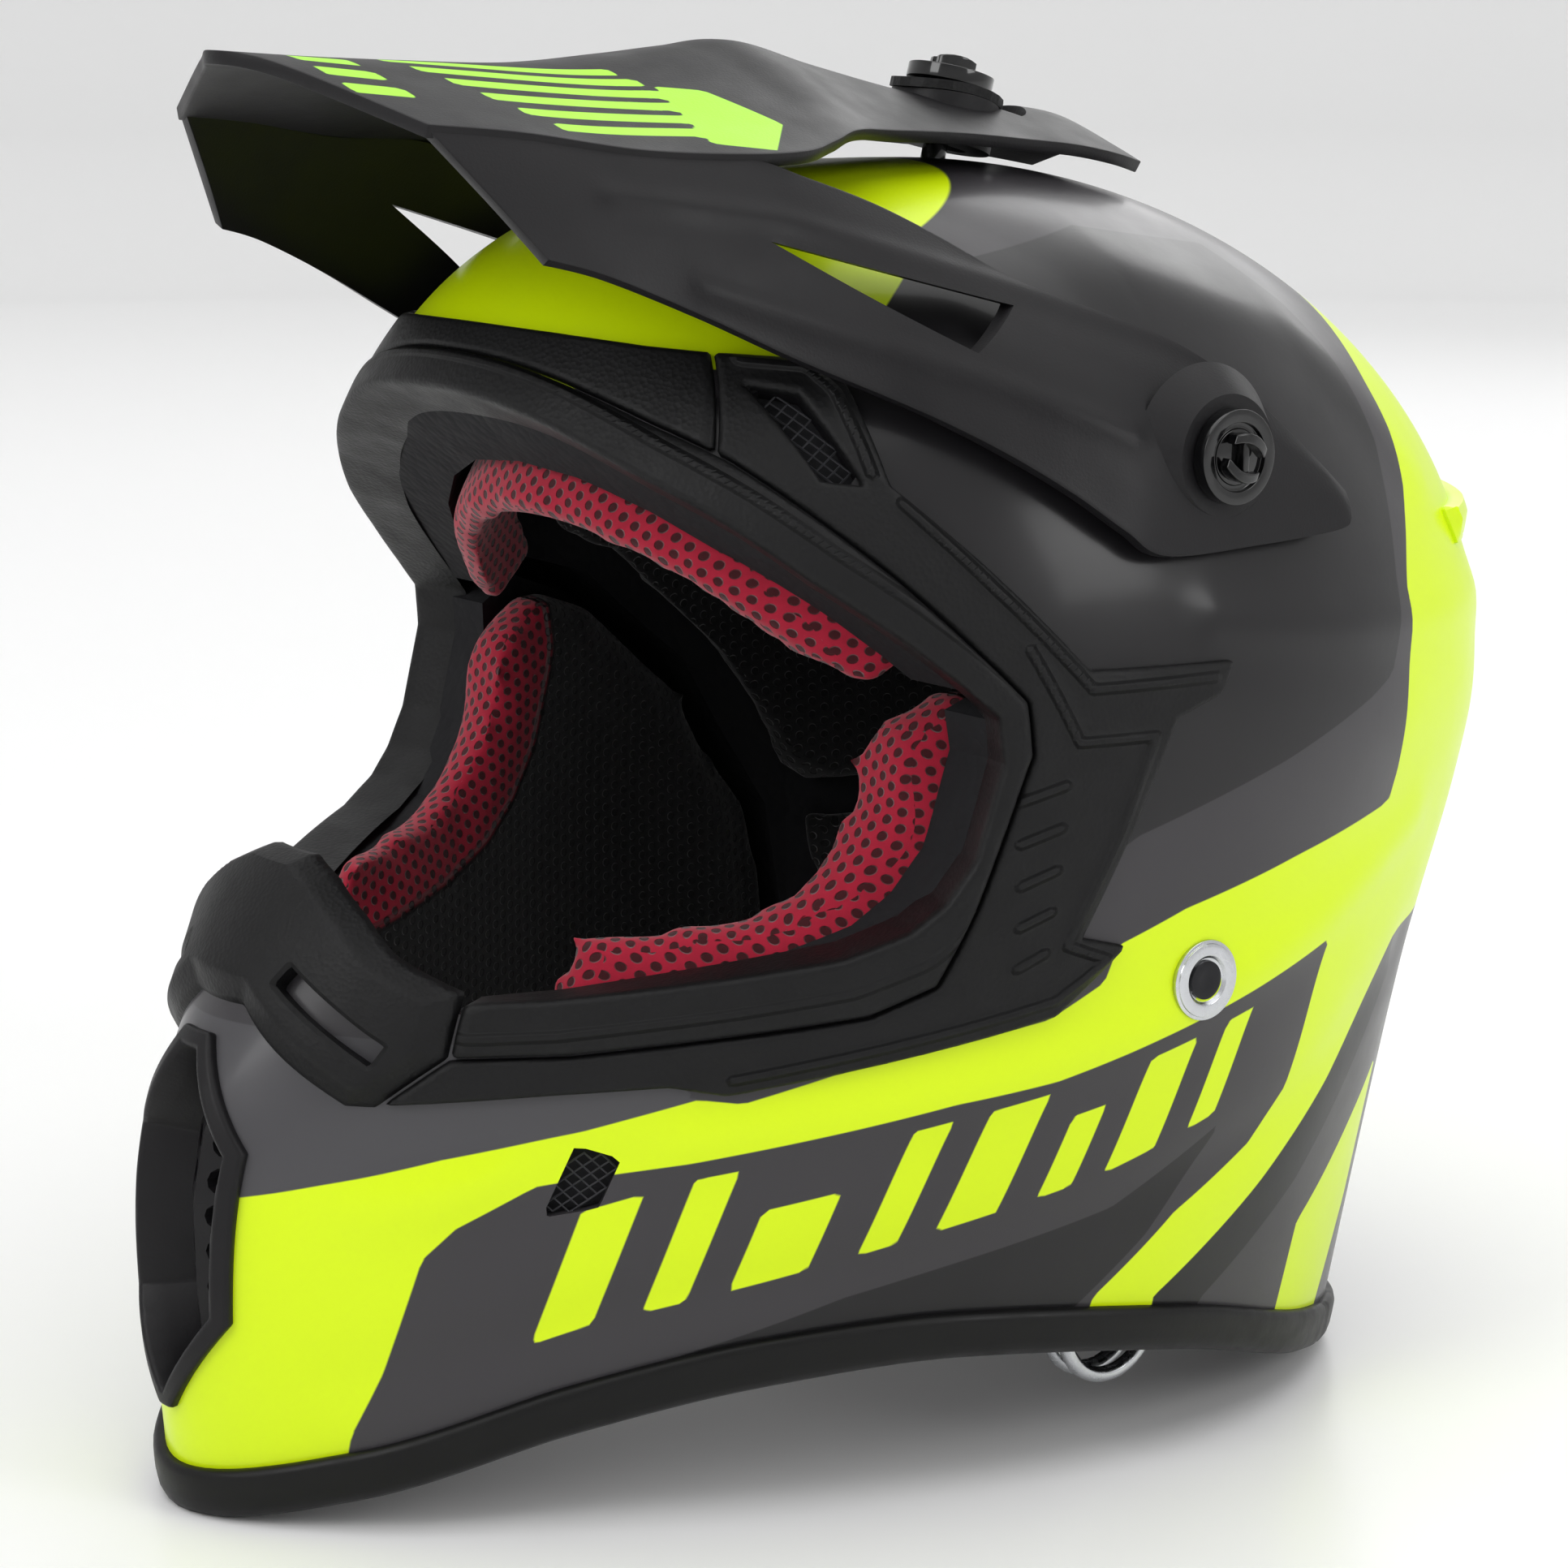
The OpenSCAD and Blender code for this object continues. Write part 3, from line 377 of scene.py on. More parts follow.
def mixColour(tree, share, a, b):
    return addNode(tree, "ShaderNodeMix", {"Factor": share, "A": a, "B": b}, data_type="RGBA").outputs[2]


def crispEdge(tree, name, soft=0.15):  # 0 outside a painted outline, 1 inside it
    field = addNode(tree, "ShaderNodeAttribute", attribute_name=name).outputs["Fac"]
    return addNode(tree, "ShaderNodeMapRange", {"Value": field, "From Min": -soft, "From Max": soft}).outputs[0]


def objectPlace(tree):
    return addNode(tree, "ShaderNodeTexCoord").outputs["Object"]


def mottle(tree, colour, size, amount):  # slight change of tone, spots about size metres across
    spots = addNode(tree, "ShaderNodeTexNoise", {"Vector": objectPlace(tree), "Scale": 1 / size, "Detail": 3.0})
    share = sumOf(tree, "MULTIPLY_ADD", spots.outputs["Fac"], amount, 1 - amount / 2)
    return addNode(tree, "ShaderNodeVectorMath", {0: colour, "Scale": share}, operation="SCALE").outputs[0]


def roughBy(tree, shader, low, high, size):
    spots = addNode(tree, "ShaderNodeTexNoise", {"Vector": objectPlace(tree), "Scale": 1 / size, "Detail": 4.0})
    rough = addNode(tree, "ShaderNodeMapRange", {"Value": spots.outputs["Fac"], "From Min": 0.3, "From Max": 0.7,
                                                 "To Min": low, "To Max": high})
    tree.links.new(rough.outputs[0], shader.inputs["Roughness"])


def bumpBy(tree, shader, height, strength, distance, under=None):
    inputs = {"Height": height, "Strength": strength, "Distance": distance}
    if under:
        inputs["Normal"] = under
    bump = addNode(tree, "ShaderNodeBump", inputs).outputs[0]
    tree.links.new(bump, shader.inputs["Normal"])
    return bump


def grain(tree, size, kind="ShaderNodeTexNoise", out="Fac"):
    return addNode(tree, kind, {"Vector": objectPlace(tree), "Scale": 1 / size}).outputs[out]


# sprayed urethane paint and clear lacquer on a moulded shell: soft gloss with a faint orange peel
paint, tree, shader = newMaterial("paintedShellLacquer", IOR=1.5)
shader.inputs["Coat Weight"].default_value, shader.inputs["Coat Roughness"].default_value = 0.25, 0.16
tone = mottle(tree, linear("charcoal"), 0.05, 0.1)
tone = mixColour(tree, crispEdge(tree, "grey"), tone, linear("grey"))
tone = mixColour(tree, crispEdge(tree, "black"), tone, linear("black"))
tone = mixColour(tree, crispEdge(tree, "neon"), tone, mottle(tree, linear("neon"), 0.06, 0.03))
tree.links.new(tone, shader.inputs["Base Color"])
roughBy(tree, shader, 0.34, 0.42, 0.02)
bumpBy(tree, shader, grain(tree, 0.0016), 0.06, 0.0002)

# injection-moulded ABS with a fine spark-eroded grain: near matt, the edges catch light; printed lime decals
peakPlastic, tree, shader = newMaterial("mouldedAbsPeak", IOR=1.52)
tone = mottle(tree, linear("peak"), 0.04, 0.15)
tree.links.new(mixColour(tree, crispEdge(tree, "lime"), tone, linear("lime")), shader.inputs["Base Color"])
roughBy(tree, shader, 0.4, 0.5, 0.015)
bumpBy(tree, shader, grain(tree, 0.0006), 0.22, 0.0002)

# soft-touch thermoplastic rubber with a leather-like mould grain, drawn 1.1 mm wide so that it shows
trimRubber, tree, shader = newMaterial("grainedTrimRubber", IOR=1.5)
tree.links.new(mottle(tree, linear("trim"), 0.03, 0.3), shader.inputs["Base Color"])
roughBy(tree, shader, 0.46, 0.58, 0.01)
leather = bumpBy(tree, shader, grain(tree, 0.0011, "ShaderNodeTexVoronoi", "Distance"), 0.35, 0.00025)
lines = addNode(tree, "ShaderNodeAttribute", attribute_name="lines").outputs["Fac"]
ridge = addNode(tree, "ShaderNodeMapRange", {"Value": lines, "From Min": 0.5, "From Max": 1.5, "To Min": 1.0,
                                             "To Max": 0.0}, interpolation_type="SMOOTHSTEP").outputs[0]
bumpBy(tree, shader, ridge, 0.9, 0.0012, leather)

# extruded EPDM edge rubber: dark satin with faint drag marks
beadRubber, tree, shader = newMaterial("extrudedEdgeRubber", IOR=1.5)
tree.links.new(mottle(tree, linear("bead"), 0.02, 0.4), shader.inputs["Base Color"])
roughBy(tree, shader, 0.36, 0.48, 0.006)
bumpBy(tree, shader, grain(tree, 0.0012), 0.12, 0.0002)

# moulded polypropylene vent parts: black, slightly waxy
ventPlastic, tree, shader = newMaterial("mouldedVentPolypropylene", IOR=1.49)
tree.links.new(mottle(tree, linear("peak"), 0.01, 0.25), shader.inputs["Base Color"])
roughBy(tree, shader, 0.38, 0.5, 0.008)
bumpBy(tree, shader, grain(tree, 0.0007), 0.2, 0.0002)

# powder-coated woven wire: fine pebbled black
wireCoat, tree, shader = newMaterial("powderCoatedWire", IOR=1.5)
tree.links.new(mottle(tree, linear("wire"), 0.004, 0.4), shader.inputs["Base Color"])
roughBy(tree, shader, 0.35, 0.5, 0.002)
bumpBy(tree, shader, grain(tree, 0.0004), 0.3, 0.0001)

# expanded polystyrene, beads about 3 mm across fused in the mould: dull, dimpled
foam, tree, shader = newMaterial("expandedPolystyrene", IOR=1.45)
beads = addNode(tree, "ShaderNodeTexVoronoi", {"Vector": objectPlace(tree), "Scale": 1 / 0.003})
tree.links.new(mottle(tree, linear("foam"), 0.01, 0.4), shader.inputs["Base Color"])
roughBy(tree, shader, 0.75, 0.9, 0.01)
bumpBy(tree, shader, sumOf(tree, "MULTIPLY", beads.outputs["Distance"], -1.0), 0.5, 0.0006)


# knitted polyester spacer mesh: rows of six-sided holes 3.6 mm apart, the holes painted a darker copy of the cloth
# colour as painted shade
def spacerMesh(name, redEverywhere):
    material, tree, shader = newMaterial(name, IOR=1.5, Roughness=0.8)
    shader.inputs["Sheen Weight"].default_value = 0.25
    shader.inputs["Sheen Roughness"].default_value = 0.5
    spot = addNode(tree, "ShaderNodeSeparateXYZ", {0: objectPlace(tree)}).outputs
    way = addNode(tree, "ShaderNodeSeparateXYZ", {0: addNode(
        tree, "ShaderNodeVectorMath", {0: addNode(tree, "ShaderNodeNewGeometry").outputs["Normal"]},
        operation="ABSOLUTE").outputs[0]}).outputs
    facesY = sumOf(tree, "GREATER_THAN", way[1], way[0])
    facesZ = sumOf(tree, "GREATER_THAN", way[2], sumOf(tree, "MAXIMUM", way[0], way[1]))
    pick = lambda share, a, b: addNode(tree, "ShaderNodeMix", {"Factor": share, "A": a, "B": b}).outputs[0]
    u = pick(facesZ, pick(facesY, spot[1], spot[0]), spot[0])
    v = pick(facesZ, spot[2], spot[1])
    total = None
    for degrees in (0, 60, 120):
        c, s = math.cos(math.radians(degrees)), math.sin(math.radians(degrees))
        phase = sumOf(tree, "MULTIPLY_ADD", u, c, sumOf(tree, "MULTIPLY", v, s))
        wave = sumOf(tree, "COSINE", sumOf(tree, "MULTIPLY", phase, 2 * math.pi / 0.0031))
        total = wave if total is None else sumOf(tree, "ADD", total, wave)
    holes = addNode(tree, "ShaderNodeMapRange", {"Value": total, "From Min": 0.1, "From Max": 1.1},
                    interpolation_type="SMOOTHSTEP").outputs[0]
    if redEverywhere:
        cloth = linear("red")
    else:
        cloth = mixColour(tree, crispEdge(tree, "red", 0.8), linear("cloth"), linear("red"))
    cloth = mottle(tree, cloth, 0.002, 0.35)
    # painted shade: the holes take the cloth colour at 0.12 of its brightness
    holeShade = addNode(tree, "ShaderNodeVectorMath", {0: cloth, "Scale": 0.12}, operation="SCALE").outputs[0]
    tree.links.new(mixColour(tree, holes, cloth, holeShade), shader.inputs["Base Color"])
    knit = bumpBy(tree, shader, sumOf(tree, "MULTIPLY", holes, -1.0), 0.9, 0.0009)
    if not redEverywhere:  # the sewn seam where the red edge meets the black
        edge = sumOf(tree, "ABSOLUTE", addNode(tree, "ShaderNodeAttribute", attribute_name="red").outputs["Fac"])
        groove = addNode(tree, "ShaderNodeMapRange", {"Value": edge, "From Min": 0.0, "From Max": 1.6},
                         interpolation_type="SMOOTHSTEP").outputs[0]
        bumpBy(tree, shader, groove, 1.0, 0.0014, knit)
    return material


redMesh, padMesh = spacerMesh("redSpacerMesh", True), spacerMesh("blackSpacerMesh", False)

# moulded nylon screw, polished tool: deep black gloss
screwNylon, tree, shader = newMaterial("polishedNylonScrew", IOR=1.53)
shader.inputs["Coat Weight"].default_value, shader.inputs["Coat Roughness"].default_value = 0.6, 0.05
tree.links.new(mottle(tree, linear("screw"), 0.01, 0.3), shader.inputs["Base Color"])
roughBy(tree, shader, 0.14, 0.24, 0.006)

# turned and zinc-plated steel: bright with a fine grain and a few dull spots
plated, tree, shader = newMaterial("zincPlatedSteel", Metallic=1.0)
tree.links.new(mottle(tree, linear("steel"), 0.004, 0.25), shader.inputs["Base Color"])
roughBy(tree, shader, 0.16, 0.34, 0.003)
bumpBy(tree, shader, grain(tree, 0.0008), 0.1, 0.0001)

# blackened steel snap and rivet eye
snapSteel, tree, shader = newMaterial("blackenedSteel", Metallic=0.9)
tree.links.new(mottle(tree, linear("snap"), 0.003, 0.3), shader.inputs["Base Color"])
roughBy(tree, shader, 0.3, 0.45, 0.003)

# woven polyester webbing: herringbone ribs 1.6 mm apart, drawn from length and width along the strap
webbing, tree, shader = newMaterial("wovenPolyesterWebbing", IOR=1.5)
shader.inputs["Sheen Weight"].default_value = 0.3
length = addNode(tree, "ShaderNodeAttribute", attribute_name="along").outputs["Fac"]
width = addNode(tree, "ShaderNodeAttribute", attribute_name="across").outputs["Fac"]
slant = sumOf(tree, "PINGPONG", width, 2.5)
rib = sumOf(tree, "SINE", sumOf(tree, "MULTIPLY", sumOf(tree, "ADD", length, slant), 2 * math.pi / 1.6))
warp = sumOf(tree, "SINE", sumOf(tree, "MULTIPLY", width, 2 * math.pi / 1.1))
weave = sumOf(tree, "ADD", rib, sumOf(tree, "MULTIPLY", warp, 0.5))
# painted highlight and shade: the thread colour is scaled from 0.6 in the grooves to 1.7 on the raised ribs
ribLightAndShade = addNode(tree, "ShaderNodeMapRange", {"Value": weave, "From Min": -1.5, "From Max": 1.5, "To Min": 0.6,
                                            "To Max": 1.7}).outputs[0]
shadedThread = addNode(tree, "ShaderNodeVectorMath", {0: linear("web"), "Scale": ribLightAndShade}, operation="SCALE").outputs[0]
tree.links.new(shadedThread, shader.inputs["Base Color"])
roughBy(tree, shader, 0.7, 0.85, 0.004)
bumpBy(tree, shader, weave, 0.7, 0.0004)
print("materials made")


# a piece is drawn flat in angle and height, cut to its outline, given a skirt and set on the shell
def layOnShell(name, angles, ups, cells, field, height, rings=(), levels=(), lineFields=None, spacing=None):
    piece = addGrid(name, *cells)
    co = getCoords(piece)
    if spacing:  # closer columns and rows where the painted edges are
        co = np.stack([np.interp(co[:, 0], *spacing["across"]), np.interp(co[:, 1], *spacing["along"])], -1)
    angle = angles[0] + (angles[1] - angles[0]) * (co[:, 0] + 1) / 2
    up = ups[0] + (ups[1] - ups[0]) * (co[:, 1] + 1) / 2
    setCoords(piece, np.stack([angle, up * 100, field(shellFace(angle, up))], -1))
    editAll(piece)
    bpy.ops.mesh.bisect(plane_co=(0, 0, 0), plane_no=(0, 0, 1), clear_inner=True, threshold=1e-5)
    for level in levels:  # extra lines of points where the edge is rounded
        bpy.ops.mesh.select_all(action="SELECT")
        bpy.ops.mesh.bisect(plane_co=(0, 0, level), plane_no=(0, 0, 1), threshold=1e-5)
    if rings:
        selectOpenEdges()
        for ring in rings:  # each ring of the skirt is found again by its depth
            bpy.ops.mesh.extrude_region_move(TRANSFORM_OT_translate={"value": (0, 0, -1000)})
    bpy.ops.object.mode_set(mode="OBJECT")
    co = getCoords(piece)
    order = np.rint(np.clip(-co[:, 2] / 1000, 0, None)).astype(int)
    angle, up = co[:, 0], np.clip(co[:, 1] / 100, 0, 1)
    p = shellFace(angle, up)
    out = height(p, np.maximum(co[:, 2], 0))
    for k, ring in enumerate(rings):
        out = np.where(order == k + 1, ring(p), out)
    setCoords(piece, shellAt(angle, up, out) / 1000)
    for key, values in (lineFields(p) if lineFields else {}).items():
        addField(piece, key, values)
    away = readTriples(piece.data.polygons, "center") - headMiddle
    if (readTriples(piece.data.polygons, "normal") * away).sum() < 0:
        piece.data.flip_normals()
    return piece


def wholeFace():  # the outer face with nothing cut out of it, to set small pieces on
    across, along = 241, 121
    angle, up = np.meshgrid(np.linspace(-180, 180, across), np.linspace(0, 0.999, along))
    points = shellFace(angle.ravel(), up.ravel()) / 1000
    faces = [(r * across + c, r * across + c + 1, (r + 1) * across + c + 1, (r + 1) * across + c)
             for r in range(along - 1) for c in range(across - 1)]
    return BVHTree.FromPolygons([Vector(q) for q in points], faces)


faceTree = wholeFace()


def shellOpenings(p):
    x = np.abs(p[:, 0])
    rear = np.where(p[:, 1] > 90, depthIn(outlines["rearVent"], x, p[:, 2]), -50)
    return -np.max([sideIn(outlines["eye"], p) + 3.0, frontIn(outlines["mouth"], p) - 1.6,
                    sideIn(outlines["chinVent"], p), sideIn(outlines["browVent"], p), rear], 0)


creases = {  # moulded character lines: points in side view, height in mm, width in mm
    "chin": ([(-146, 72), (-110, 84), (-60, 92), (0, 104), (60, 122), (100, 138)], 1.3, 7),
    "jaw": ([(-150, 34), (-90, 52), (-20, 60), (50, 76), (110, 104)], -0.9, 8),
    "rear": ([(20, 196), (60, 190), (100, 186), (150, 184)], 1.2, 7),
    "crown": ([(-30, 262), (30, 268), (80, 250), (110, 216)], 1.0, 8)}


def shellRelief(p, f):
    out = np.zeros(len(p))
    for line, tall, wide in creases.values():
        d = nearLine(line, p[:, 1], p[:, 2])
        out += tall * np.exp(-(d / wide) ** 2) * np.clip((np.abs(p[:, 0]) - 20) / 30, 0, 1)
    return out * np.clip(f / 12, 0, 1)


def shellPaint(p):
    return {key: np.max([sideIn(o, p) for o in graphics[key]], 0) for key in graphics}


def plainPaint(count, only):  # one colour all over
    return {key: np.full(count, 5.0 if key == only else -5.0) for key in graphics}


shell = layOnShell("paintedShell", (-180, 180), (0, 1), (316, 160), shellOpenings, shellRelief, lineFields=shellPaint,
                   spacing={"across": ([-1, -0.72, 0.72, 1], [-1, -0.54, 0.54, 1]),
                            "along": ([-1, -0.2, 1], [-1, -0.38, 1])})
weld(shell)
outerCount = len(shell.data.vertices)
finishModifier(shell, "SOLIDIFY", thickness=shellSizes["wall"] / 1000, offset=-1.0)
innerPaint = plainPaint(len(shell.data.vertices) - outerCount, "black")  # the inner face is left plain
for key, bare in innerPaint.items():
    values = np.zeros(len(shell.data.vertices))
    shell.data.attributes[key].data.foreach_get("value", values)
    values[outerCount:] = bare
    addField(shell, key, values)
bossSizes = {"y": 0.022, "z": 0.230, "out": 0.1155, "length": 0.017, "radius": 0.012}
for side in (1, -1):
    reach = side * (bossSizes["out"] - bossSizes["length"] / 2)
    bpy.ops.mesh.primitive_cylinder_add(vertices=48, radius=bossSizes["radius"], depth=bossSizes["length"],
                                        location=(reach, bossSizes["y"], bossSizes["z"]), rotation=(0, math.pi / 2, 0))
    boss = newPiece("screwBoss" + str(side))
    bpy.ops.object.transform_apply(location=True, rotation=True, scale=True)
    finishModifier(boss, "BEVEL", width=0.0006, segments=2)
    for key, values in plainPaint(len(boss.data.vertices), "black").items():
        addField(boss, key, values)
    joinInto(shell, boss)
smooth(shell, 30)
place(shell, "helmet", ["outer_shell"], paint)
print("shell made:", len(shell.data.polygons), "faces")


def roundedEdge(low, top, wide):  # height across a rounded edge
    return lambda p, f: low + (top - low) * np.sqrt(1 - (1 - np.clip(f / wide, 0, 1)) ** 2)


def evenly(value):  # the same number at every point
    return lambda p: np.full(len(p), value)


# edge bead: one rubber extrusion round the bottom edge, its ends meeting behind the left ear
beadSizes = {"columns": 300, "middle": -1.6, "joint": 128, "jointWide": 0.5, "pinch": 0.14}
beadProfile = [(0.3, 6), (1.4, 6.1), (2.2, 5.6), (2.7, 4.4), (2.75, 2), (2.7, -0.6), (2.4, -2.6), (1.6, -4.2),
               (0.2, -5.2), (-1.6, -5.4), (-3.4, -5.2), (-4.8, -4.2), (-5.6, -2.6), (-5.9, -0.6), (-5.95, 2),
               (-5.9, 4.4), (-5.4, 5.6), (-4.6, 6.1), (-3.5, 6)]
bead = addGrid("edgeBead", beadSizes["columns"], len(beadProfile))
co = getCoords(bead)
angle = co[:, 0] * 180
k = np.rint((co[:, 1] + 1) / 2 * len(beadProfile)).astype(int) % len(beadProfile)
spot = np.array(beadProfile)[k]
zero = np.zeros(len(angle))
edge, above = shellFace(angle, zero), shellFace(angle, zero + 0.04)
outward = shellAt(angle, zero, zero + 1) - edge
rising = (above - edge) / np.linalg.norm(above - edge, axis=1)[:, None]
pinch = 1 - beadSizes["pinch"] * np.exp(-((angle - beadSizes["joint"]) / beadSizes["jointWide"]) ** 2)
middle = beadSizes["middle"]
co = edge + outward * (middle + (spot[:, :1] - middle) * pinch[:, None]) + rising * spot[:, 1:] * pinch[:, None]
co[:, 2] = np.maximum(co[:, 2], 0)
setCoords(bead, co / 1000)
weld(bead, outward=True)
smooth(bead, 50)
place(bead, "helmet", ["edge_bead"], beadRubber)

# eyeport rim: flange over the shell with a lip turned in round the opening
rimSizes = {"proud": 3.4, "low": 1.6, "round": 1.6, "groove": 7.5, "lip": (0.5, 5, 13)}


def rimField(p):
    front = np.maximum(np.abs(p[:, 0]) - 44, np.maximum(p[:, 1] + 137.6, 117 - p[:, 2]))  # the nose guard's place
    return np.min([sideIn(outlines["rim"], p), -sideIn(outlines["eye"], p),
                   -frontIn(outlines["nose"], p) - 0.4, front], 0)


def rimHeight(p, f):
    inner = -sideIn(outlines["eye"], p)
    base = roundedEdge(rimSizes["low"], rimSizes["proud"], rimSizes["round"])(p, f)
    return base - 0.9 * np.clip((inner - 8) / 5, 0, 1)  # falls a little towards its outer edge


def rimTuck(depth):
    return lambda p: np.where(sideIn(outlines["eye"], p) > -0.6, -depth, np.maximum(-depth, -0.4))


rim = layOnShell("eyeportRim", (-112, 112), (0.16, 0.93), (300, 260), rimField, rimHeight,
                 [rimTuck(deep) for deep in rimSizes["lip"]], (0.3, 0.8, rimSizes["round"], rimSizes["groove"]),
                 lambda p: {"lines": np.minimum(np.abs(sideIn(outlines["eye"], p) + rimSizes["groove"]), 6)})
smooth(rim, 38)
place(rim, "helmet", ["eyeport_rim"], trimRubber)

# brow trim and side trims: flat rubber mouldings with raised outlines and ribs
trimSizes = {"low": 0.9, "proud": 2.3, "round": 1.4, "rib": 0.6, "ribWide": 1.2}
trimLevels = (0.3, 0.8, trimSizes["round"])
trimEdge = roundedEdge(trimSizes["low"], trimSizes["proud"], trimSizes["round"])
sideLines = [[(-48, 222), (-34, 205), (-15, 183), (16, 183)], [(-28, 192), (-18, 172), (0, 172), (-8, 152), (-20, 128)],
             [(-20, 128), (-10, 124), (-22, 116), (-84, 102)], [(-66, 250), (-56, 249), (-53, 244), (-52, 228)],
             *[[(-31, 160 - 9 * k), (-21 - k, 163 - 9 * k)] for k in range(5)]]


def trimField(key):
    return lambda p: np.min([sideIn(outlines[key], p), -sideIn(outlines["rim"], p) - 0.4,
                             -frontIn(outlines["nose"], p) - 0.4, -sideIn(outlines["browVent"], p)], 0)


def trimLines(p):
    return {"lines": np.min([nearLine(line, p[:, 1], p[:, 2]) for line in sideLines], 0)}


def sideHeight(p, f):
    return trimEdge(p, f) + trimSizes["rib"] * np.exp(-(trimLines(p)["lines"] / trimSizes["ribWide"]) ** 2)


def noLines(p):
    return {"lines": np.full(len(p), 5.0)}


browTrim = layOnShell("browTrim", (-62, 62), (0.5, 0.97), (220, 150), trimField("browTrim"), trimEdge, [evenly(-0.4)],
                      trimLevels, noLines)
smooth(browTrim, 38)
place(browTrim, "helmet", ["brow_trim"], trimRubber)
sideTrim = layOnShell("sideTrimLeft", (2, 116), (0.14, 0.93), (200, 260), trimField("sideTrim"), sideHeight,
                      [evenly(-0.4)], trimLevels, trimLines)
smooth(sideTrim, 38)
sideTrimRight = mirrorPiece(sideTrim, "sideTrimRight")
place(sideTrim, "helmet", ["side_trim_left"], trimRubber)
place(sideTrimRight, "helmet", ["side_trim_right"], trimRubber)

# nose guard: a faceted rubber block over the chin bar, with a slot each side
noseSizes = {"proud": 5.6, "low": 1.2, "slope": 0.95, "flank": 20, "sunk": 0.5}


def noseField(p):
    mirrored = np.stack([np.abs(p[:, 0]), p[:, 1], p[:, 2]], -1)
    return np.minimum(frontIn(outlines["nose"], p), -frontIn(outlines["noseSlot"], mirrored))


def noseHeight(p, f):
    edge = np.maximum(frontIn(outlines["nose"], p), 0)
    slope = noseSizes["low"] + noseSizes["slope"] * np.minimum(edge, noseSizes["flank"])
    faceted = np.minimum(slope, noseSizes["proud"])
    return faceted - 0.8 * np.clip(1 - f / 0.8, 0, 1) - noseSizes["sunk"]


nose = layOnShell("noseGuard", (-30, 30), (0.12, 0.5), (200, 150), noseField, noseHeight, [evenly(-0.3)],
                  (0.4, 0.8, 5), noLines)
smooth(nose, 26)
place(nose, "helmet", ["nose_guard"], trimRubber)

# mouth vent bezel: a frame with a tunnel back to the pierced plate
bezelSizes = {"wide": 4, "low": 0.9, "proud": 2.3, "round": 1.2, "tunnel": (4.0, 12.0)}


def bezelField(p):
    inside = frontIn(outlines["mouth"], p)
    return np.minimum(inside, bezelSizes["wide"] - inside)


def bezelTuck(deep):  # the inner edge goes back to the plate, the outer one to the shell
    return lambda p: np.where(frontIn(outlines["mouth"], p) > bezelSizes["wide"] / 2, -deep, -0.4)


bezel = layOnShell("mouthVentBezel", (-12, 12), (0.0, 0.3), (120, 200), bezelField,
                   roundedEdge(bezelSizes["low"], bezelSizes["proud"], bezelSizes["round"]),
                   [bezelTuck(deep) for deep in bezelSizes["tunnel"]], (0.3, 0.8, bezelSizes["round"]))
smooth(bezel, 38)
place(bezel, "helmet", ["mouth_vent_bezel"], ventPlastic)

# rear spoiler: a low lip across the back, painted with the shell
spoilerSizes = {"bottom": 198, "top": 207, "half": 88, "frontY": 92, "root": 0.8, "rise": 2.7, "round": 1.2}


def spoilerField(p):
    band = np.min([p[:, 2] - spoilerSizes["bottom"], spoilerSizes["top"] - p[:, 2],
                   spoilerSizes["half"] - np.abs(p[:, 0])], 0)
    return np.where(p[:, 1] > spoilerSizes["frontY"], band, -9)


def spoilerHeight(p, f):
    climb = np.clip((p[:, 2] - spoilerSizes["bottom"]) / 5, 0, 1)
    return spoilerSizes["root"] + spoilerSizes["rise"] * climb * np.clip(f / spoilerSizes["round"], 0, 1)


spoiler = layOnShell("rearSpoiler", (130, 230), (0.42, 0.72), (220, 90), spoilerField, spoilerHeight, [evenly(-0.3)],
                     (0.3, 0.8, spoilerSizes["round"]), lambda p: plainPaint(len(p), "neon"))
smooth(spoiler, 30)
place(spoiler, "helmet", ["rear_spoiler"], paint)
print("rim, trims, nose guard, bezel and spoiler made")

# woven wire over the chin and brow vents
wireSizes = {"pitch": 2.1, "wire": 0.6, "sunk": 1.6, "cells": 20, "turn": 40}
filterSizes = {"front": 3.5, "back": 4.5, "overlap": 2.5}


def wireMesh(name, outline):
    low, high = np.min(outline, 0), np.max(outline, 0)
    middle = (low + high) / 2
    piece = addGrid(name, wireSizes["cells"], wireSizes["cells"], wireSizes["cells"] * wireSizes["pitch"])
    co = getCoords(piece)
    c, s = math.cos(math.radians(wireSizes["turn"])), math.sin(math.radians(wireSizes["turn"]))
    y, z = middle[0] + c * co[:, 0] - s * co[:, 1], middle[1] + s * co[:, 0] + c * co[:, 1]
    inside = depthIn(outline, y, z) > -0.4
    points = []
    for yy, zz in zip(y / 1000, z / 1000):
        hit, normal = faceTree.ray_cast(Vector((0.2, yy, zz)), Vector((-1, 0, 0)))[:2]
        points.append(hit - normal * wireSizes["sunk"] / 1000 if hit else Vector((0, yy, zz)))
    setCoords(piece, np.array([tuple(q) for q in points]))
    selectFaces(piece, lambda face: not all(inside[v] for v in face.vertices))
    bpy.ops.mesh.delete(type="FACE")
    bpy.ops.object.mode_set(mode="OBJECT")
    finishModifier(piece, "WIREFRAME", thickness=wireSizes["wire"] / 1000, use_boundary=True, use_even_offset=False)
    smooth(piece, 60)
    return piece


def ventFilter(name, key, ups):  # dark open foam behind the wire
    return layOnShell(name, (14, 60), ups, (60, 60),
                      lambda p: np.where(p[:, 0] > 0, sideIn(outlines[key], p) + filterSizes["overlap"], -9),
                      lambda p, f: np.full(len(p), -filterSizes["front"]), [evenly(-filterSizes["back"])])


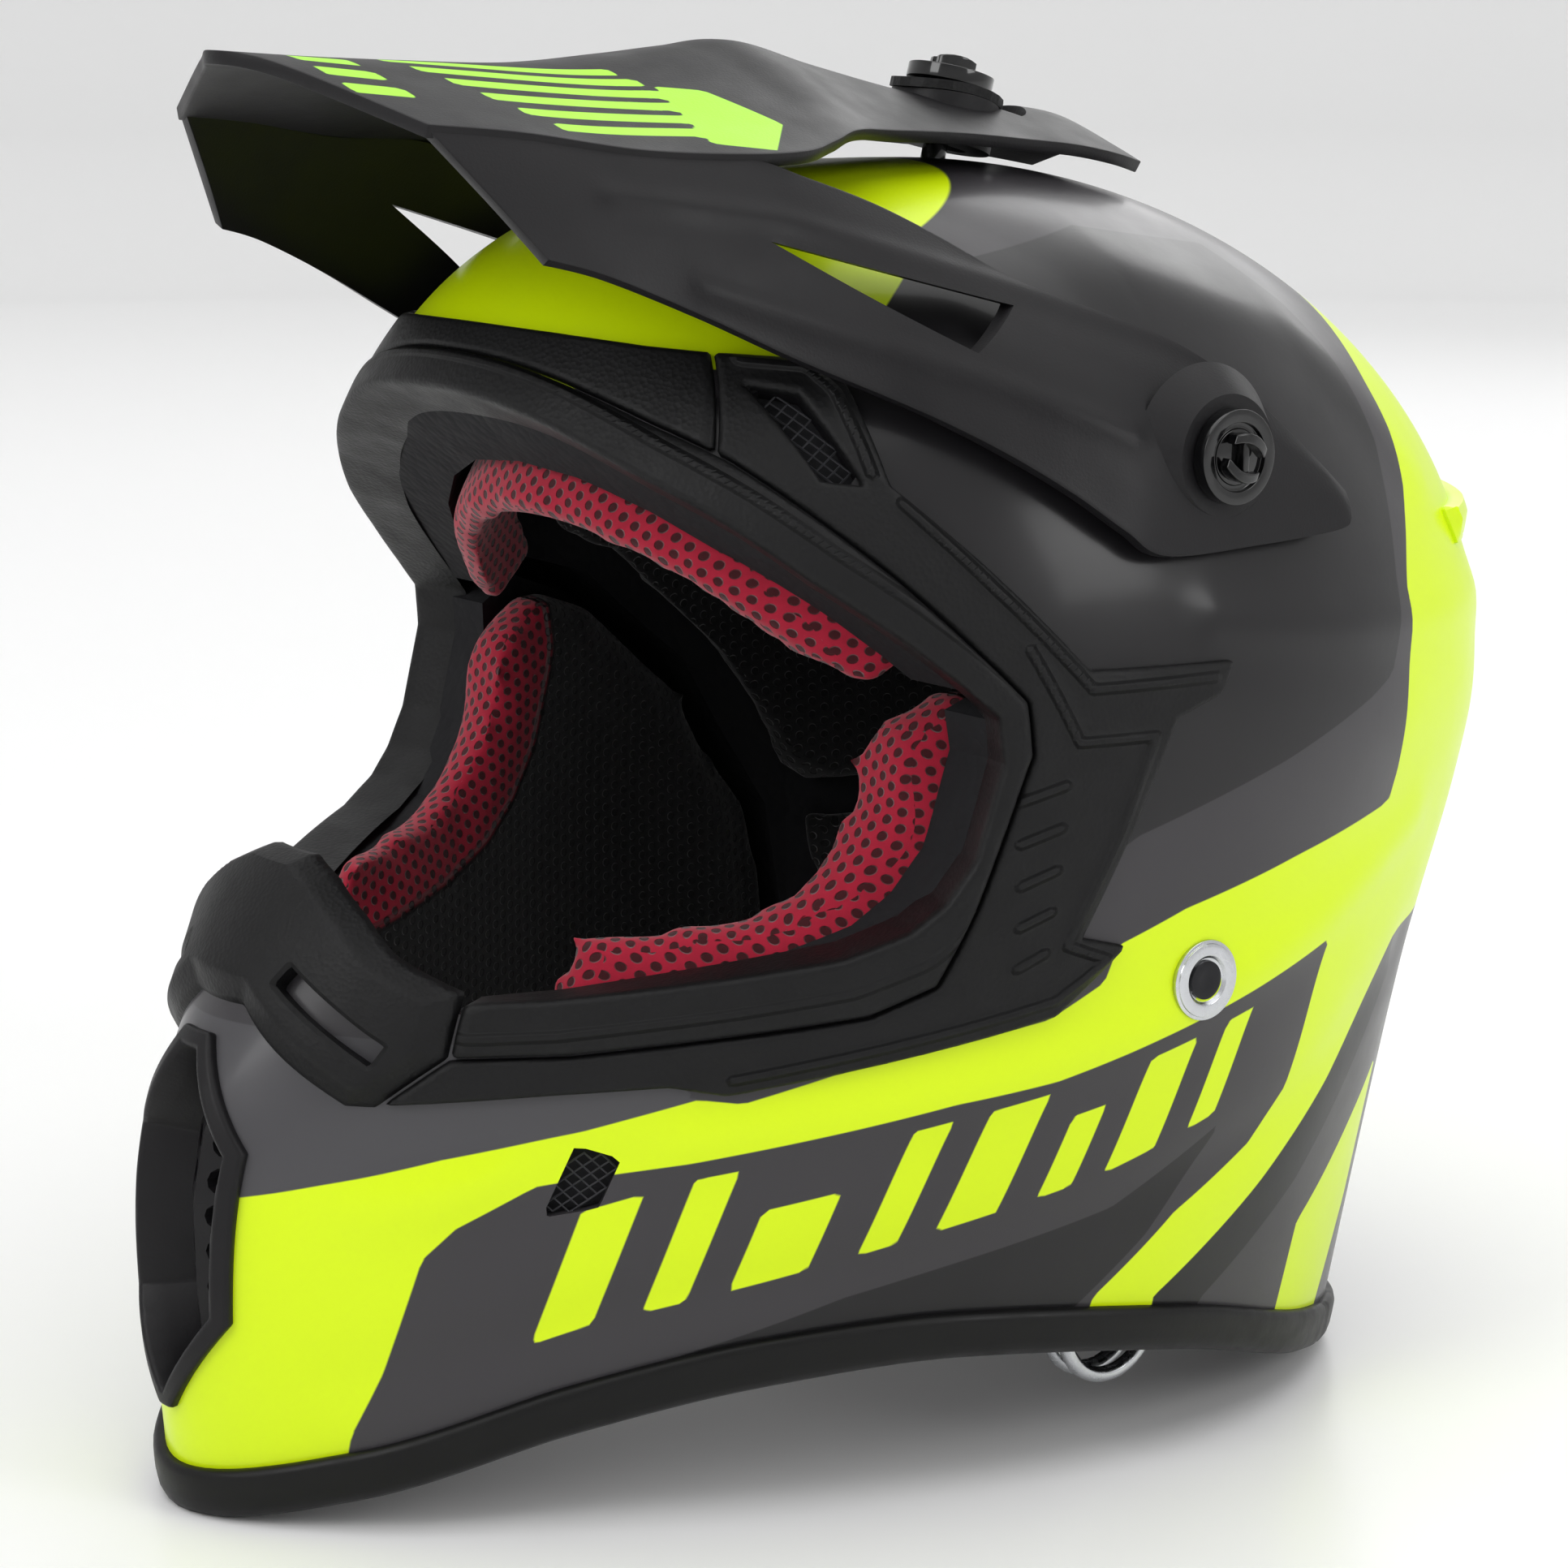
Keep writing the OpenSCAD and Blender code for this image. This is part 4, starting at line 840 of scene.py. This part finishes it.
for stem, node in (("chinVent", "chin_mesh"), ("browVent", "brow_mesh")):
    grille = wireMesh(stem + "MeshLeft", outlines[stem])
    grilleRight = mirrorPiece(grille, stem + "MeshRight")
    place(grille, "helmet", [node + "_left"], wireCoat)
    place(grilleRight, "helmet", [node + "_right"], wireCoat)
for key, ups in (("chinVent", (0.08, 0.26)), ("browVent", (0.5, 0.8))):
    filterLeft = ventFilter(key + "FilterLeft", key, ups)
    filterRight = mirrorPiece(filterLeft, key + "FilterRight")
    for part in (filterLeft, filterRight):
        place(part, "helmet", [], foam)
print("wire meshes made")

# peak: a folded roof and two slotted arms, all one moulding
peakSizes = {"thick": 3.0, "pivot": (22, 230), "crownAngle": 15.5, "crownBoss": 13, "seatRadius": 74.7, "seatTool": 15,
             "seatStretch": 5.6, "armBossFoot": 19.5, "armBossTop": 13.3, "armBossTall": 8, "sideHole": 3.1,
             "slotHole": 3.45, "slotStretch": 5.2, "ribTall": 0.8, "ribWide": 2.6}
peakLines = {
    "ridge": [(0, -155, 316), (0, -135, 314.5), (0, -108, 313), (0, -80, 312), (0, -55, 313.5), (0, -38, 315),
              (0, -23, 316), (0, -2, 310.5), (0, 25, 304), (0, 42, 301.5), (0, 60, 299.5), (0, 74, 297), (0, 88, 291)],
    "crease": [(52, -135, 302), (57, -115, 300), (63, -90, 296), (66, -66, 294.5), (64, -48, 294.5), (56, -34, 296),
               (46, -20, 297.5), (37, -2, 296.5), (31, 22, 295), (29, 42, 293), (27, 60, 291), (25, 74, 288.5),
               (20, 86, 286)],
    "armTop": [(51, -135, 301.5), (56, -115, 299.5), (62, -90, 295.5), (65, -66, 294), (67, -50, 289), (70, -34, 283),
               (77, -20, 275), (87, -8, 266), (95, 8, 259), (101, 24, 252), (108, 40, 241), (114, 54, 227),
               (116, 62, 219)],
    "armLow": [(68, -117, 275), (72, -104, 271), (78, -84, 262), (84, -66, 253), (92, -49, 245), (100, -38, 239),
               (108, -27, 232), (115, -16, 224), (120, -6, 216), (122, 4, 210), (122, 30, 210), (120.5, 56, 211),
               (119.5, 61, 213)],
    "armSwell": [0, 1, 2, 3, 3.5, 4, 4.5, 5, 5.5, 5.5, 3, 1.5, 0.5],
    "slot": [(-67, 277), (-14, 262), (-28, 253)],
    "ribs": [[(-100, 287), (-62, 281), (-12, 265.5), (20, 254), (44, 243)],
             [(-84, 268), (-50, 256), (-24, 246), (0, 235)]]}
peakDecals = [[(28, -62), (60, -70), (64, -56), (50, -44), (32, -52)]]  # seen from above
for k in range(6):
    x0, y0, x1, y1 = 4 + 9 * k, -118 + 3 * k, 15.5 + 7.4 * k, -66 + 2 * k
    peakDecals.append([(x0, y0), (x0 + 4.5, y0), (x1 + 4.5, y1), (x1, y1)])
for k in range(7):
    peakDecals.append([(-38 + 11 * k, -141), (-32 + 11 * k, -141), (-29 + 11 * k, -128), (-35 + 11 * k, -128)])


def alongRows(rows, s):  # smooth through the rows of points
    rows = np.array(rows, float)
    last = len(rows) - 1
    k = np.clip(s.astype(int), 0, last - 1)
    slope = lambda i: (rows[np.minimum(i + 1, last)] - rows[np.maximum(i - 1, 0)]) / 2
    w = (s - k)[:, None, None]
    return hermite(w, rows[k], rows[k + 1], slope(k), slope(k + 1))


def loft(name, rows, steps):
    piece = addGrid(name, *steps)
    co = getCoords(piece)
    nets = alongRows(rows, (co[:, 1] + 1) / 2 * (len(rows) - 1))  # one line of points for each vertex
    a = (co[:, 0] + 1) / 2 * (len(rows[0]) - 1)
    k = np.clip(a.astype(int), 0, len(rows[0]) - 2)
    n = np.arange(len(co))
    w = (a - k)[:, None]
    last = len(rows[0]) - 1
    slope = lambda i: (nets[n, np.minimum(i + 1, last)] - nets[n, np.maximum(i - 1, 0)]) / 2
    setCoords(piece, hermite(w, nets[n, k], nets[n, k + 1], slope(k), slope(k + 1)) / 1000)
    return piece


def roofRow(k):
    c, e = np.array(peakLines["ridge"][k], float), np.array(peakLines["crease"][k], float)
    q = c * 0.68 + e * 0.32 + [0, 0, (c[2] - e[2]) * 0.14]
    flip = np.array([-1, 1, 1])
    return [e * flip, q * flip, c, q, e]


def armRow(k):
    a, b = np.array(peakLines["armTop"][k], float), np.array(peakLines["armLow"][k], float)
    s = peakLines["armSwell"][k] * np.array([0.86, 0, 0.5])
    return [a, a * 0.72 + b * 0.28 + s * 0.8, a * 0.4 + b * 0.6 + s, b]


def thicken(piece, thick, inside):
    if readTriples(piece.data.polygons, "normal").mean(0) @ np.array(inside) > 0:
        piece.data.flip_normals()
    finishModifier(piece, "SOLIDIFY", thickness=thick / 1000, offset=-1.0, use_even_offset=False)
    finishModifier(piece, "BEVEL", width=0.0007, segments=2, limit_method="ANGLE", angle_limit=math.radians(55))


def prismAcross(name, outline, half=0.16):  # a side outline swept right across
    clearSelection()
    bpy.ops.mesh.primitive_circle_add(vertices=len(outline), radius=1, fill_type="NGON")
    tool = newPiece(name)
    setCoords(tool, np.array([(-half, y / 1000, z / 1000) for y, z in outline]))
    editAll(tool)
    bpy.ops.mesh.extrude_region_move(TRANSFORM_OT_translate={"value": (2 * half, 0, 0)})
    bpy.ops.mesh.select_all(action="SELECT")
    bpy.ops.mesh.normals_make_consistent(inside=False)
    bpy.ops.object.mode_set(mode="OBJECT")
    return tool


def screwPlace(side, out):  # a frame whose Z runs out along a screw, at a distance in mm from the pivot line
    y, z = peakSizes["pivot"]
    if side:
        return Matrix.Translation((side * out / 1000, y / 1000, z / 1000)) @ Matrix.Rotation(side * math.pi / 2, 4, "Y")
    tilt = Matrix.Rotation(math.radians(-peakSizes["crownAngle"]), 4, "X")
    return Matrix.Translation((0, y / 1000, z / 1000)) @ tilt @ Matrix.Translation((0, 0, out / 1000))


def cylinderAt(name, where, radius, height, sides=48):  # stands on its frame's floor
    clearSelection()
    bpy.ops.mesh.primitive_cylinder_add(vertices=sides, radius=radius / 1000, depth=height / 1000,
                                        location=(0, 0, height / 2000))
    piece = newPiece(name)
    bpy.ops.object.transform_apply(location=True, rotation=True, scale=True)
    piece.data.transform(where)
    return piece


def slotCutter(name, where, radius, height, stretch):  # a round cutter drawn out both ways along the tilt
    tool = cylinderAt(name, Matrix.Identity(4), radius, height, 64)
    co = getCoords(tool)
    co[:, 1] += np.where(np.abs(co[:, 1]) < 1e-6, 0, np.sign(co[:, 1])) * stretch / 1000
    setCoords(tool, co)
    tool.data.transform(where)
    return tool


def curvedBlock(name):  # everything above the seat, which is curved about the pivot line
    tool = addBlock(name, Matrix.Identity(4), 2)
    editAll(tool)
    bpy.ops.mesh.subdivide(number_cuts=31)
    bpy.ops.object.mode_set(mode="OBJECT")
    co = getCoords(tool)
    lean = np.radians(peakSizes["crownAngle"] + 25 * co[:, 1])
    reach = peakSizes["seatRadius"] + 22 * (co[:, 2] + 1)
    y, z = peakSizes["pivot"]
    setCoords(tool, np.stack([25 * co[:, 0], y + reach * np.sin(lean), z + reach * np.cos(lean)], -1) / 1000)
    weld(tool, outward=True)
    return tool


roof = loft("peakMoulding", [roofRow(k) for k in range(13)], (96, 156))
thicken(roof, peakSizes["thick"], (0, 0, -1))
arm = loft("peakArm", [armRow(k) for k in range(13)], (36, 156))
thicken(arm, peakSizes["thick"], (-1, 0, -0.5))
armRight = mirrorPiece(arm, "peakArmRight")
for part in (arm, armRight):
    cutWith(roof, part, "UNION")
for side in (1, -1):
    clearSelection()
    bpy.ops.mesh.primitive_cone_add(vertices=64, radius1=peakSizes["armBossFoot"] / 1000,
                                    radius2=peakSizes["armBossTop"] / 1000, depth=peakSizes["armBossTall"] / 1000,
                                    location=(0, 0, peakSizes["armBossTall"] / 2000))
    boss = newPiece("armBoss")  # swells out of the arm
    bpy.ops.object.transform_apply(location=True, rotation=True, scale=True)
    boss.data.transform(screwPlace(side, 113))
    cutWith(roof, boss, "UNION")
cutWith(roof, cylinderAt("crownBoss", screwPlace(0, 63), peakSizes["crownBoss"], 13.2, 64), "UNION")
seat = slotCutter("crownSeat", screwPlace(0, 60), peakSizes["seatTool"], 60, peakSizes["seatStretch"])
cutWith(seat, curvedBlock("seatCurve"), "INTERSECT")
cutWith(roof, seat)
for side in (1, -1):
    cutWith(roof, cylinderAt("bossClear", screwPlace(side, 75), 13, 41, 64))
cutWith(roof, prismAcross("armSlot", peakLines["slot"]))
for side in (1, -1):
    cutWith(roof, cylinderAt("shankHole", screwPlace(side, 105), peakSizes["sideHole"], 30))
shankSlot = slotCutter("shankSlot", screwPlace(0, 56), peakSizes["slotHole"], 40, peakSizes["slotStretch"])
cutWith(roof, shankSlot)  # lets the peak tilt under the crown screw
p = getCoords(roof) * 1000
normals = readTriples(roof.data.vertices, "normal")
lime = np.max([depthIn(o, p[:, 0], p[:, 1]) for o in peakDecals], 0)
addField(roof, "lime", np.where((p[:, 2] > 285) & (p[:, 1] > -150) & (normals[:, 2] > 0.3), lime, -5))  # top face alone
outside = (np.abs(p[:, 0]) > 45) & (normals[:, 0] * np.sign(p[:, 0]) > 0.35)
swell = [peakSizes["ribTall"] * np.exp(-(nearLine(rib, p[:, 1], p[:, 2]) / peakSizes["ribWide"]) ** 2)
         for rib in peakLines["ribs"]]
raised = np.where(outside, np.max(swell, 0), 0)
setCoords(roof, (p + normals * raised[:, None]) / 1000)  # moulded ribs above and below the slot
smooth(roof, 30)
place(roof, "peak", ["peak"], peakPlastic)
print("peak made:", len(roof.data.polygons), "faces")

# finger screws
screwSizes = {"head": 20.6, "thick": 3.4, "shank": 5.9, "sideOut": 121.2, "sideReach": 26, "crownOut": 77.3,
              "crownReach": 31.2, "lug": (0.0022, 0.0094, 0.0040), "bar": (0.0080, 0.0018, 0.0024)}


def selectTop(piece, z):  # the round face on top
    selectFaces(piece, lambda face: face.normal.z > 0.9 and face.center.z > z - 1e-5 and len(face.vertices) > 8)


def sinkFace(*moves):  # insets the chosen face, then moves it, in metres
    for inset, rise in moves:
        bpy.ops.mesh.inset(thickness=inset)
        if rise:
            bpy.ops.mesh.extrude_region_move(TRANSFORM_OT_translate={"value": (0, 0, rise)})


def fingerScrew(name, where, reach):
    head = cylinderAt(name, Matrix.Identity(4), screwSizes["head"] / 2, screwSizes["thick"], 72)
    selectTop(head, screwSizes["thick"] / 1000)
    sinkFace((0.0012, 0), (0.0016, -0.0012), (0.0014, 0.0004))
    bpy.ops.object.mode_set(mode="OBJECT")
    finishModifier(head, "BEVEL", width=0.00035, segments=3, limit_method="ANGLE", angle_limit=math.radians(40))
    parts = []
    half = screwSizes["lug"][1] / 2
    for lean in (1, -1):  # two curved lugs to turn it by
        lug = addBlock("lug", Matrix.Diagonal((*screwSizes["lug"], 1)))
        editAll(lug)
        bpy.ops.mesh.subdivide(number_cuts=5)
        bpy.ops.object.mode_set(mode="OBJECT")
        co = getCoords(lug)
        co[:, 0] += lean * (0.0026 + 0.0016 * (1 - (co[:, 1] / half) ** 2))
        co[:, 2] = co[:, 2] * (1 - 0.35 * (co[:, 1] / half) ** 2) + 0.0046
        setCoords(lug, co)
        finishModifier(lug, "BEVEL", width=0.0005, segments=3, limit_method="ANGLE", angle_limit=math.radians(50))
        parts.append(lug)
    barPlace = Matrix.Translation((0, 0.0008, 0.0037)) @ Matrix.Rotation(0.35, 4, "Z")
    bar = addBlock("bar", barPlace @ Matrix.Diagonal((*screwSizes["bar"], 1)))
    finishModifier(bar, "BEVEL", width=0.0004, segments=3)
    parts.append(bar)
    shank = cylinderAt("shank", Matrix.Translation((0, 0, -reach / 1000)), screwSizes["shank"] / 2, reach + 0.5, 32)
    finishModifier(shank, "BEVEL", width=0.0005, segments=2, limit_method="ANGLE")
    joinInto(head, *parts, shank)
    head.data.transform(where)
    smooth(head, 35)
    return head


for side, body in ((1, "screw_left"), (-1, "screw_right"), (0, "screw_centre")):
    spot = "side" if side else "crown"
    screw = fingerScrew(body + "Piece", screwPlace(side, screwSizes[spot + "Out"]) @ Matrix.Rotation(-0.4, 4, "Z"),
                        screwSizes[spot + "Reach"])
    place(screw, body, ["peak_" + body], screwNylon)

# strap rivets: a turned ring outside, a shank with its collars through the wall, a dark button
rivetSizes = {"ring": 18, "thick": 1.3, "button": 8.6, "place": (0.1206, 0.018, 0.115)}
for side, word in ((1, "left"), (-1, "right")):
    x, y, z = rivetSizes["place"]
    where = Matrix.Translation((side * x, y, z)) @ Matrix.Rotation(side * math.pi / 2, 4, "Y")
    ring = cylinderAt("rivetRing_" + word, Matrix.Identity(4), rivetSizes["ring"] / 2, rivetSizes["thick"], 72)
    selectTop(ring, rivetSizes["thick"] / 1000)
    sinkFace((0.0008, 0.0004), (0.0026, 0), (0.0006, 0))
    bpy.ops.transform.translate(value=(0, 0, -0.0009))
    bpy.ops.object.mode_set(mode="OBJECT")
    finishModifier(ring, "BEVEL", width=0.0002, segments=2, limit_method="ANGLE", angle_limit=math.radians(35))
    back = cylinderAt("rivetShank", Matrix.Translation((0, 0, -0.0107)), 4, 11, 40)
    flange = cylinderAt("rivetFlange", Matrix.Translation((0, 0, -0.0110)), 7, 2, 40)
    inner = cylinderAt("rivetCollar", Matrix.Translation((0, 0, -0.0065)), 6, 2.2, 40)
    joinInto(ring, back, flange, inner)
    ring.data.transform(where)
    smooth(ring, 35)
    place(ring, "helmet", ["strap_rivet_" + word], plated)
    button = cylinderAt("rivetButton_" + word, Matrix.Identity(4), rivetSizes["button"] / 2, rivetSizes["thick"], 56)
    selectTop(button, rivetSizes["thick"] / 1000)
    bpy.ops.mesh.inset(thickness=0.0009)
    bpy.ops.transform.translate(value=(0, 0, 0.0003))
    bpy.ops.mesh.inset(thickness=0.0016)
    bpy.ops.transform.translate(value=(0, 0, -0.0004))
    bpy.ops.object.mode_set(mode="OBJECT")
    button.data.transform(where)
    smooth(button, 35)
    place(button, "helmet", [], snapSteel)
print("screws and rivets made")

# chin straps
strapSizes = {"width": 20, "thick": 2.0, "y": 18, "around": 28, "along": 120, "blunt": 0.28}
loopSizes = {"middle": (0.088, 0.018, 0.033), "size": (0.0124, 0.020, 0.0068), "round": 0.0024}
strapTop = [(110.9, 106), (110.3, 90), (106.5, 70)]
strapPaths = {"left": strapTop + [(103, 57), (97, 46), (91, 40), (88, 35)],
              "right": strapTop + [(102, 52), (96, 38), (87, 28), (74, 21), (56, 18), (30, 17)]}


def webStrap(name, path, side):
    rows = [[(q[0], 0, q[1])] for q in path]
    piece = addGrid(name, strapSizes["around"], strapSizes["along"])
    co = getCoords(piece)
    s = (co[:, 1] + 1) / 2 * (len(path) - 1)
    centre = alongRows(rows, s)[:, 0]
    ahead = alongRows(rows, np.minimum(s + 0.02, len(path) - 1))[:, 0] - alongRows(rows, np.maximum(s - 0.02, 0))[:, 0]
    ahead /= np.linalg.norm(ahead, axis=1)[:, None]
    face = np.stack([-ahead[:, 2], ahead[:, 1], ahead[:, 0]], -1)
    turn = co[:, 0] * math.pi
    blunt = lambda v: np.sign(v) * np.abs(v) ** strapSizes["blunt"]  # a flat section with round edges
    w, h = blunt(np.cos(turn)) * strapSizes["width"] / 2, blunt(np.sin(turn)) * strapSizes["thick"] / 2
    points = centre + face * h[:, None] + np.array([0, 1, 0]) * w[:, None]
    points[:, 1] += strapSizes["y"]
    points[:, 0] *= side
    lengths = np.concatenate([[0], np.cumsum(np.linalg.norm(np.diff(np.array(path), axis=0), axis=1))])
    setCoords(piece, points / 1000)
    addField(piece, "along", np.interp(s, np.arange(len(path)), lengths))
    addField(piece, "across", w + strapSizes["width"] / 2)
    editAll(piece)
    bpy.ops.mesh.remove_doubles(threshold=0.00002)
    selectOpenEdges()
    bpy.ops.mesh.fill_holes(sides=0)
    bpy.ops.mesh.select_all(action="SELECT")
    bpy.ops.mesh.normals_make_consistent(inside=False)
    bpy.ops.object.mode_set(mode="OBJECT")
    return piece


strapLeft = webStrap("chinStrapLeft", strapPaths["left"], 1)
loopEnd = addBlock("loopEnd", Matrix.Translation(loopSizes["middle"]) @ Matrix.Diagonal((*loopSizes["size"], 1)))
finishModifier(loopEnd, "BEVEL", width=loopSizes["round"], segments=5)
editAll(loopEnd)
bpy.ops.mesh.subdivide(number_cuts=3)
bpy.ops.object.mode_set(mode="OBJECT")
p = getCoords(loopEnd) * 1000
addField(loopEnd, "along", p[:, 0] + p[:, 2])
addField(loopEnd, "across", p[:, 1] - 8)
joinInto(strapLeft, loopEnd)
smooth(strapLeft, 50)
place(strapLeft, "strap_left", ["chin_strap_left"], webbing)
strapRight = webStrap("chinStrapRight", strapPaths["right"], -1)
smooth(strapRight, 50)
place(strapRight, "strap_right", ["chin_strap_right"], webbing)
print("straps made")

# padded lining
padSizes = {"voxel": 0.0045, "shrink": 0.0014, "cap": 0.0032, "pressure": 4, "mass": 0.15, "quality": 5, "frames": 20}


def softPad(node, name, material, redFrom=None):
    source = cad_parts[node]
    piece = bpy.data.objects.new(name, source.data.copy())
    bpy.context.scene.collection.objects.link(piece)
    piece.data.name = name
    weld(piece)
    finishModifier(piece, "REMESH", mode="VOXEL", voxel_size=padSizes["voxel"], use_smooth_shade=True)
    finishModifier(piece, "SMOOTH", factor=0.5, iterations=3)
    start = getCoords(piece) - readTriples(piece.data.vertices, "normal") * padSizes["shrink"]
    setCoords(piece, start)
    makeActive(piece)
    cloth = piece.modifiers.new("Cloth", "CLOTH")
    cloth.settings.use_pressure = True
    cloth.settings.uniform_pressure_force = padSizes["pressure"]
    cloth.settings.effector_weights.gravity = 0
    cloth.settings.quality = padSizes["quality"]
    cloth.settings.mass = padSizes["mass"]
    cloth.point_cache.frame_start, cloth.point_cache.frame_end = 1, padSizes["frames"]
    for step in range(1, padSizes["frames"] + 1):
        bpy.context.scene.frame_set(step)
    graph = bpy.context.evaluated_depsgraph_get()
    swollen = piece.evaluated_get(graph).to_mesh()
    moved = readTriples(swollen.vertices, "co") - start
    piece.evaluated_get(graph).to_mesh_clear()
    piece.modifiers.remove(cloth)
    size = np.linalg.norm(moved, axis=1)[:, None]
    moved *= np.minimum(1, padSizes["cap"] / np.maximum(size, 1e-9))
    setCoords(piece, start + moved)
    bpy.context.scene.frame_set(1)
    finishModifier(piece, "SMOOTH", factor=0.5, iterations=2)
    finishModifier(piece, "SUBSURF", levels=1, render_levels=1)
    p = getCoords(piece) * 1000
    addField(piece, "red", redFrom(p) if redFrom else np.full(len(p), -5.0))
    smooth(piece, 70)
    place(piece, "helmet", [node], material)
    return piece


def nearEye(p):  # the red edge that shows in the eyeport
    return 13 + sideIn(outlines["eye"], p)


softPad("brow_band", "browBand", redMesh)
cheekLeft = softPad("cheek_pad_left", "cheekPadLeft", padMesh, nearEye)
cheekRight = mirrorPiece(cheekLeft, "cheekPadRight")
place(cheekRight, "helmet", ["cheek_pad_right"], padMesh)
softPad("crown_liner", "crownLiner", padMesh)
softPad("neck_roll", "neckRoll", padMesh)
print("pads made")

# CAD parts that stay as they are, with better materials
kept = [(foam, ["eps_liner", "chin_foam", "cheek_block_left", "cheek_block_right"]),
        (ventPlastic, ["mouth_vent_plate", "rear_vent_left", "rear_vent_right"]), (trimRubber, ["peak_washer"]),
        (plated, ["peak_nuts", "strap_plate_left", "strap_plate_right", "d_ring_outer", "d_ring_inner"]),
        (snapSteel, ["strap_snap"])]
for material, nodes in kept:
    for node in nodes:
        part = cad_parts[node]
        if not part.data.materials:
            part.data.materials.append(material)
        for holder in part.material_slots:
            holder.material = material
print("CAD parts given their materials")

# floor, backdrop and light
coveSizes = {"rings": [(3.0, 0.0), (3.7, 0.12), (4.2, 0.5), (4.5, 1.2), (4.6, 2.4), (4.65, 4.0)], "grey": 0.88}
lightSizes = {"sky": 0.45, "top": 95, "key": 12, "side": 9, "rear": 6}
clearSelection()
bpy.ops.mesh.primitive_circle_add(vertices=96, radius=coveSizes["rings"][0][0], fill_type="NOTHING")
floor = newPiece("studioFloor")
editAll(floor)
for (r0, z0), (r1, z1) in zip(coveSizes["rings"][:-1], coveSizes["rings"][1:]):  # turns up into a wall far behind
    bpy.ops.mesh.extrude_region_move(TRANSFORM_OT_translate={"value": (0, 0, z1 - z0)})
    bpy.ops.transform.resize(value=(r1 / r0, r1 / r0, 1), center_override=(0, 0, z1))
bpy.ops.mesh.select_all(action="DESELECT")
bpy.ops.object.mode_set(mode="OBJECT")
for corner in floor.data.vertices:
    corner.select = corner.co.z < 0.001
bpy.ops.object.mode_set(mode="EDIT")
bpy.ops.mesh.edge_face_add()
bpy.ops.mesh.select_all(action="SELECT")
bpy.ops.mesh.normals_make_consistent(inside=True)
bpy.ops.object.mode_set(mode="OBJECT")
smooth(floor, 60)
floorPaint, tree, shader = newMaterial("paleStudioFloor", Roughness=0.3, IOR=1.4)
tree.links.new(mottle(tree, (coveSizes["grey"],) * 3 + (1,), 0.5, 0.01), shader.inputs["Base Color"])
floor.data.materials.append(floorPaint)
world = bpy.data.worlds.new("studio")
bpy.context.scene.world = world
world.use_nodes = True
world.node_tree.nodes["Background"].inputs[0].default_value = (1, 1, 1, 1)
world.node_tree.nodes["Background"].inputs[1].default_value = lightSizes["sky"]
bpy.context.scene.view_settings.view_transform = "Standard"  # keeps the neon as bright as the paint


def softLight(name, spot, aim, size, power):
    bpy.ops.object.light_add(type="AREA", location=spot)
    light = bpy.context.object
    light.name = name
    light.data.shape, light.data.size, light.data.energy = "SQUARE", size, power
    light.rotation_mode = "QUATERNION"
    light.rotation_quaternion = (Vector(aim) - Vector(spot)).to_track_quat("-Z", "Y")


softLight("topSoftbox", (0, 0, 3.2), (0, 0, 0), 5, lightSizes["top"])
softLight("keySoftbox", (0.2, -1.9, 1.3), (0, 0, 0.15), 0.9, lightSizes["key"])
softLight("sideSoftbox", (1.9, 0.7, 1.1), (0, 0, 0.15), 0.8, lightSizes["side"])
softLight("rearSoftbox", (-1.2, 1.8, 1.2), (0, 0, 0.15), 1.0, lightSizes["rear"])

print("done")
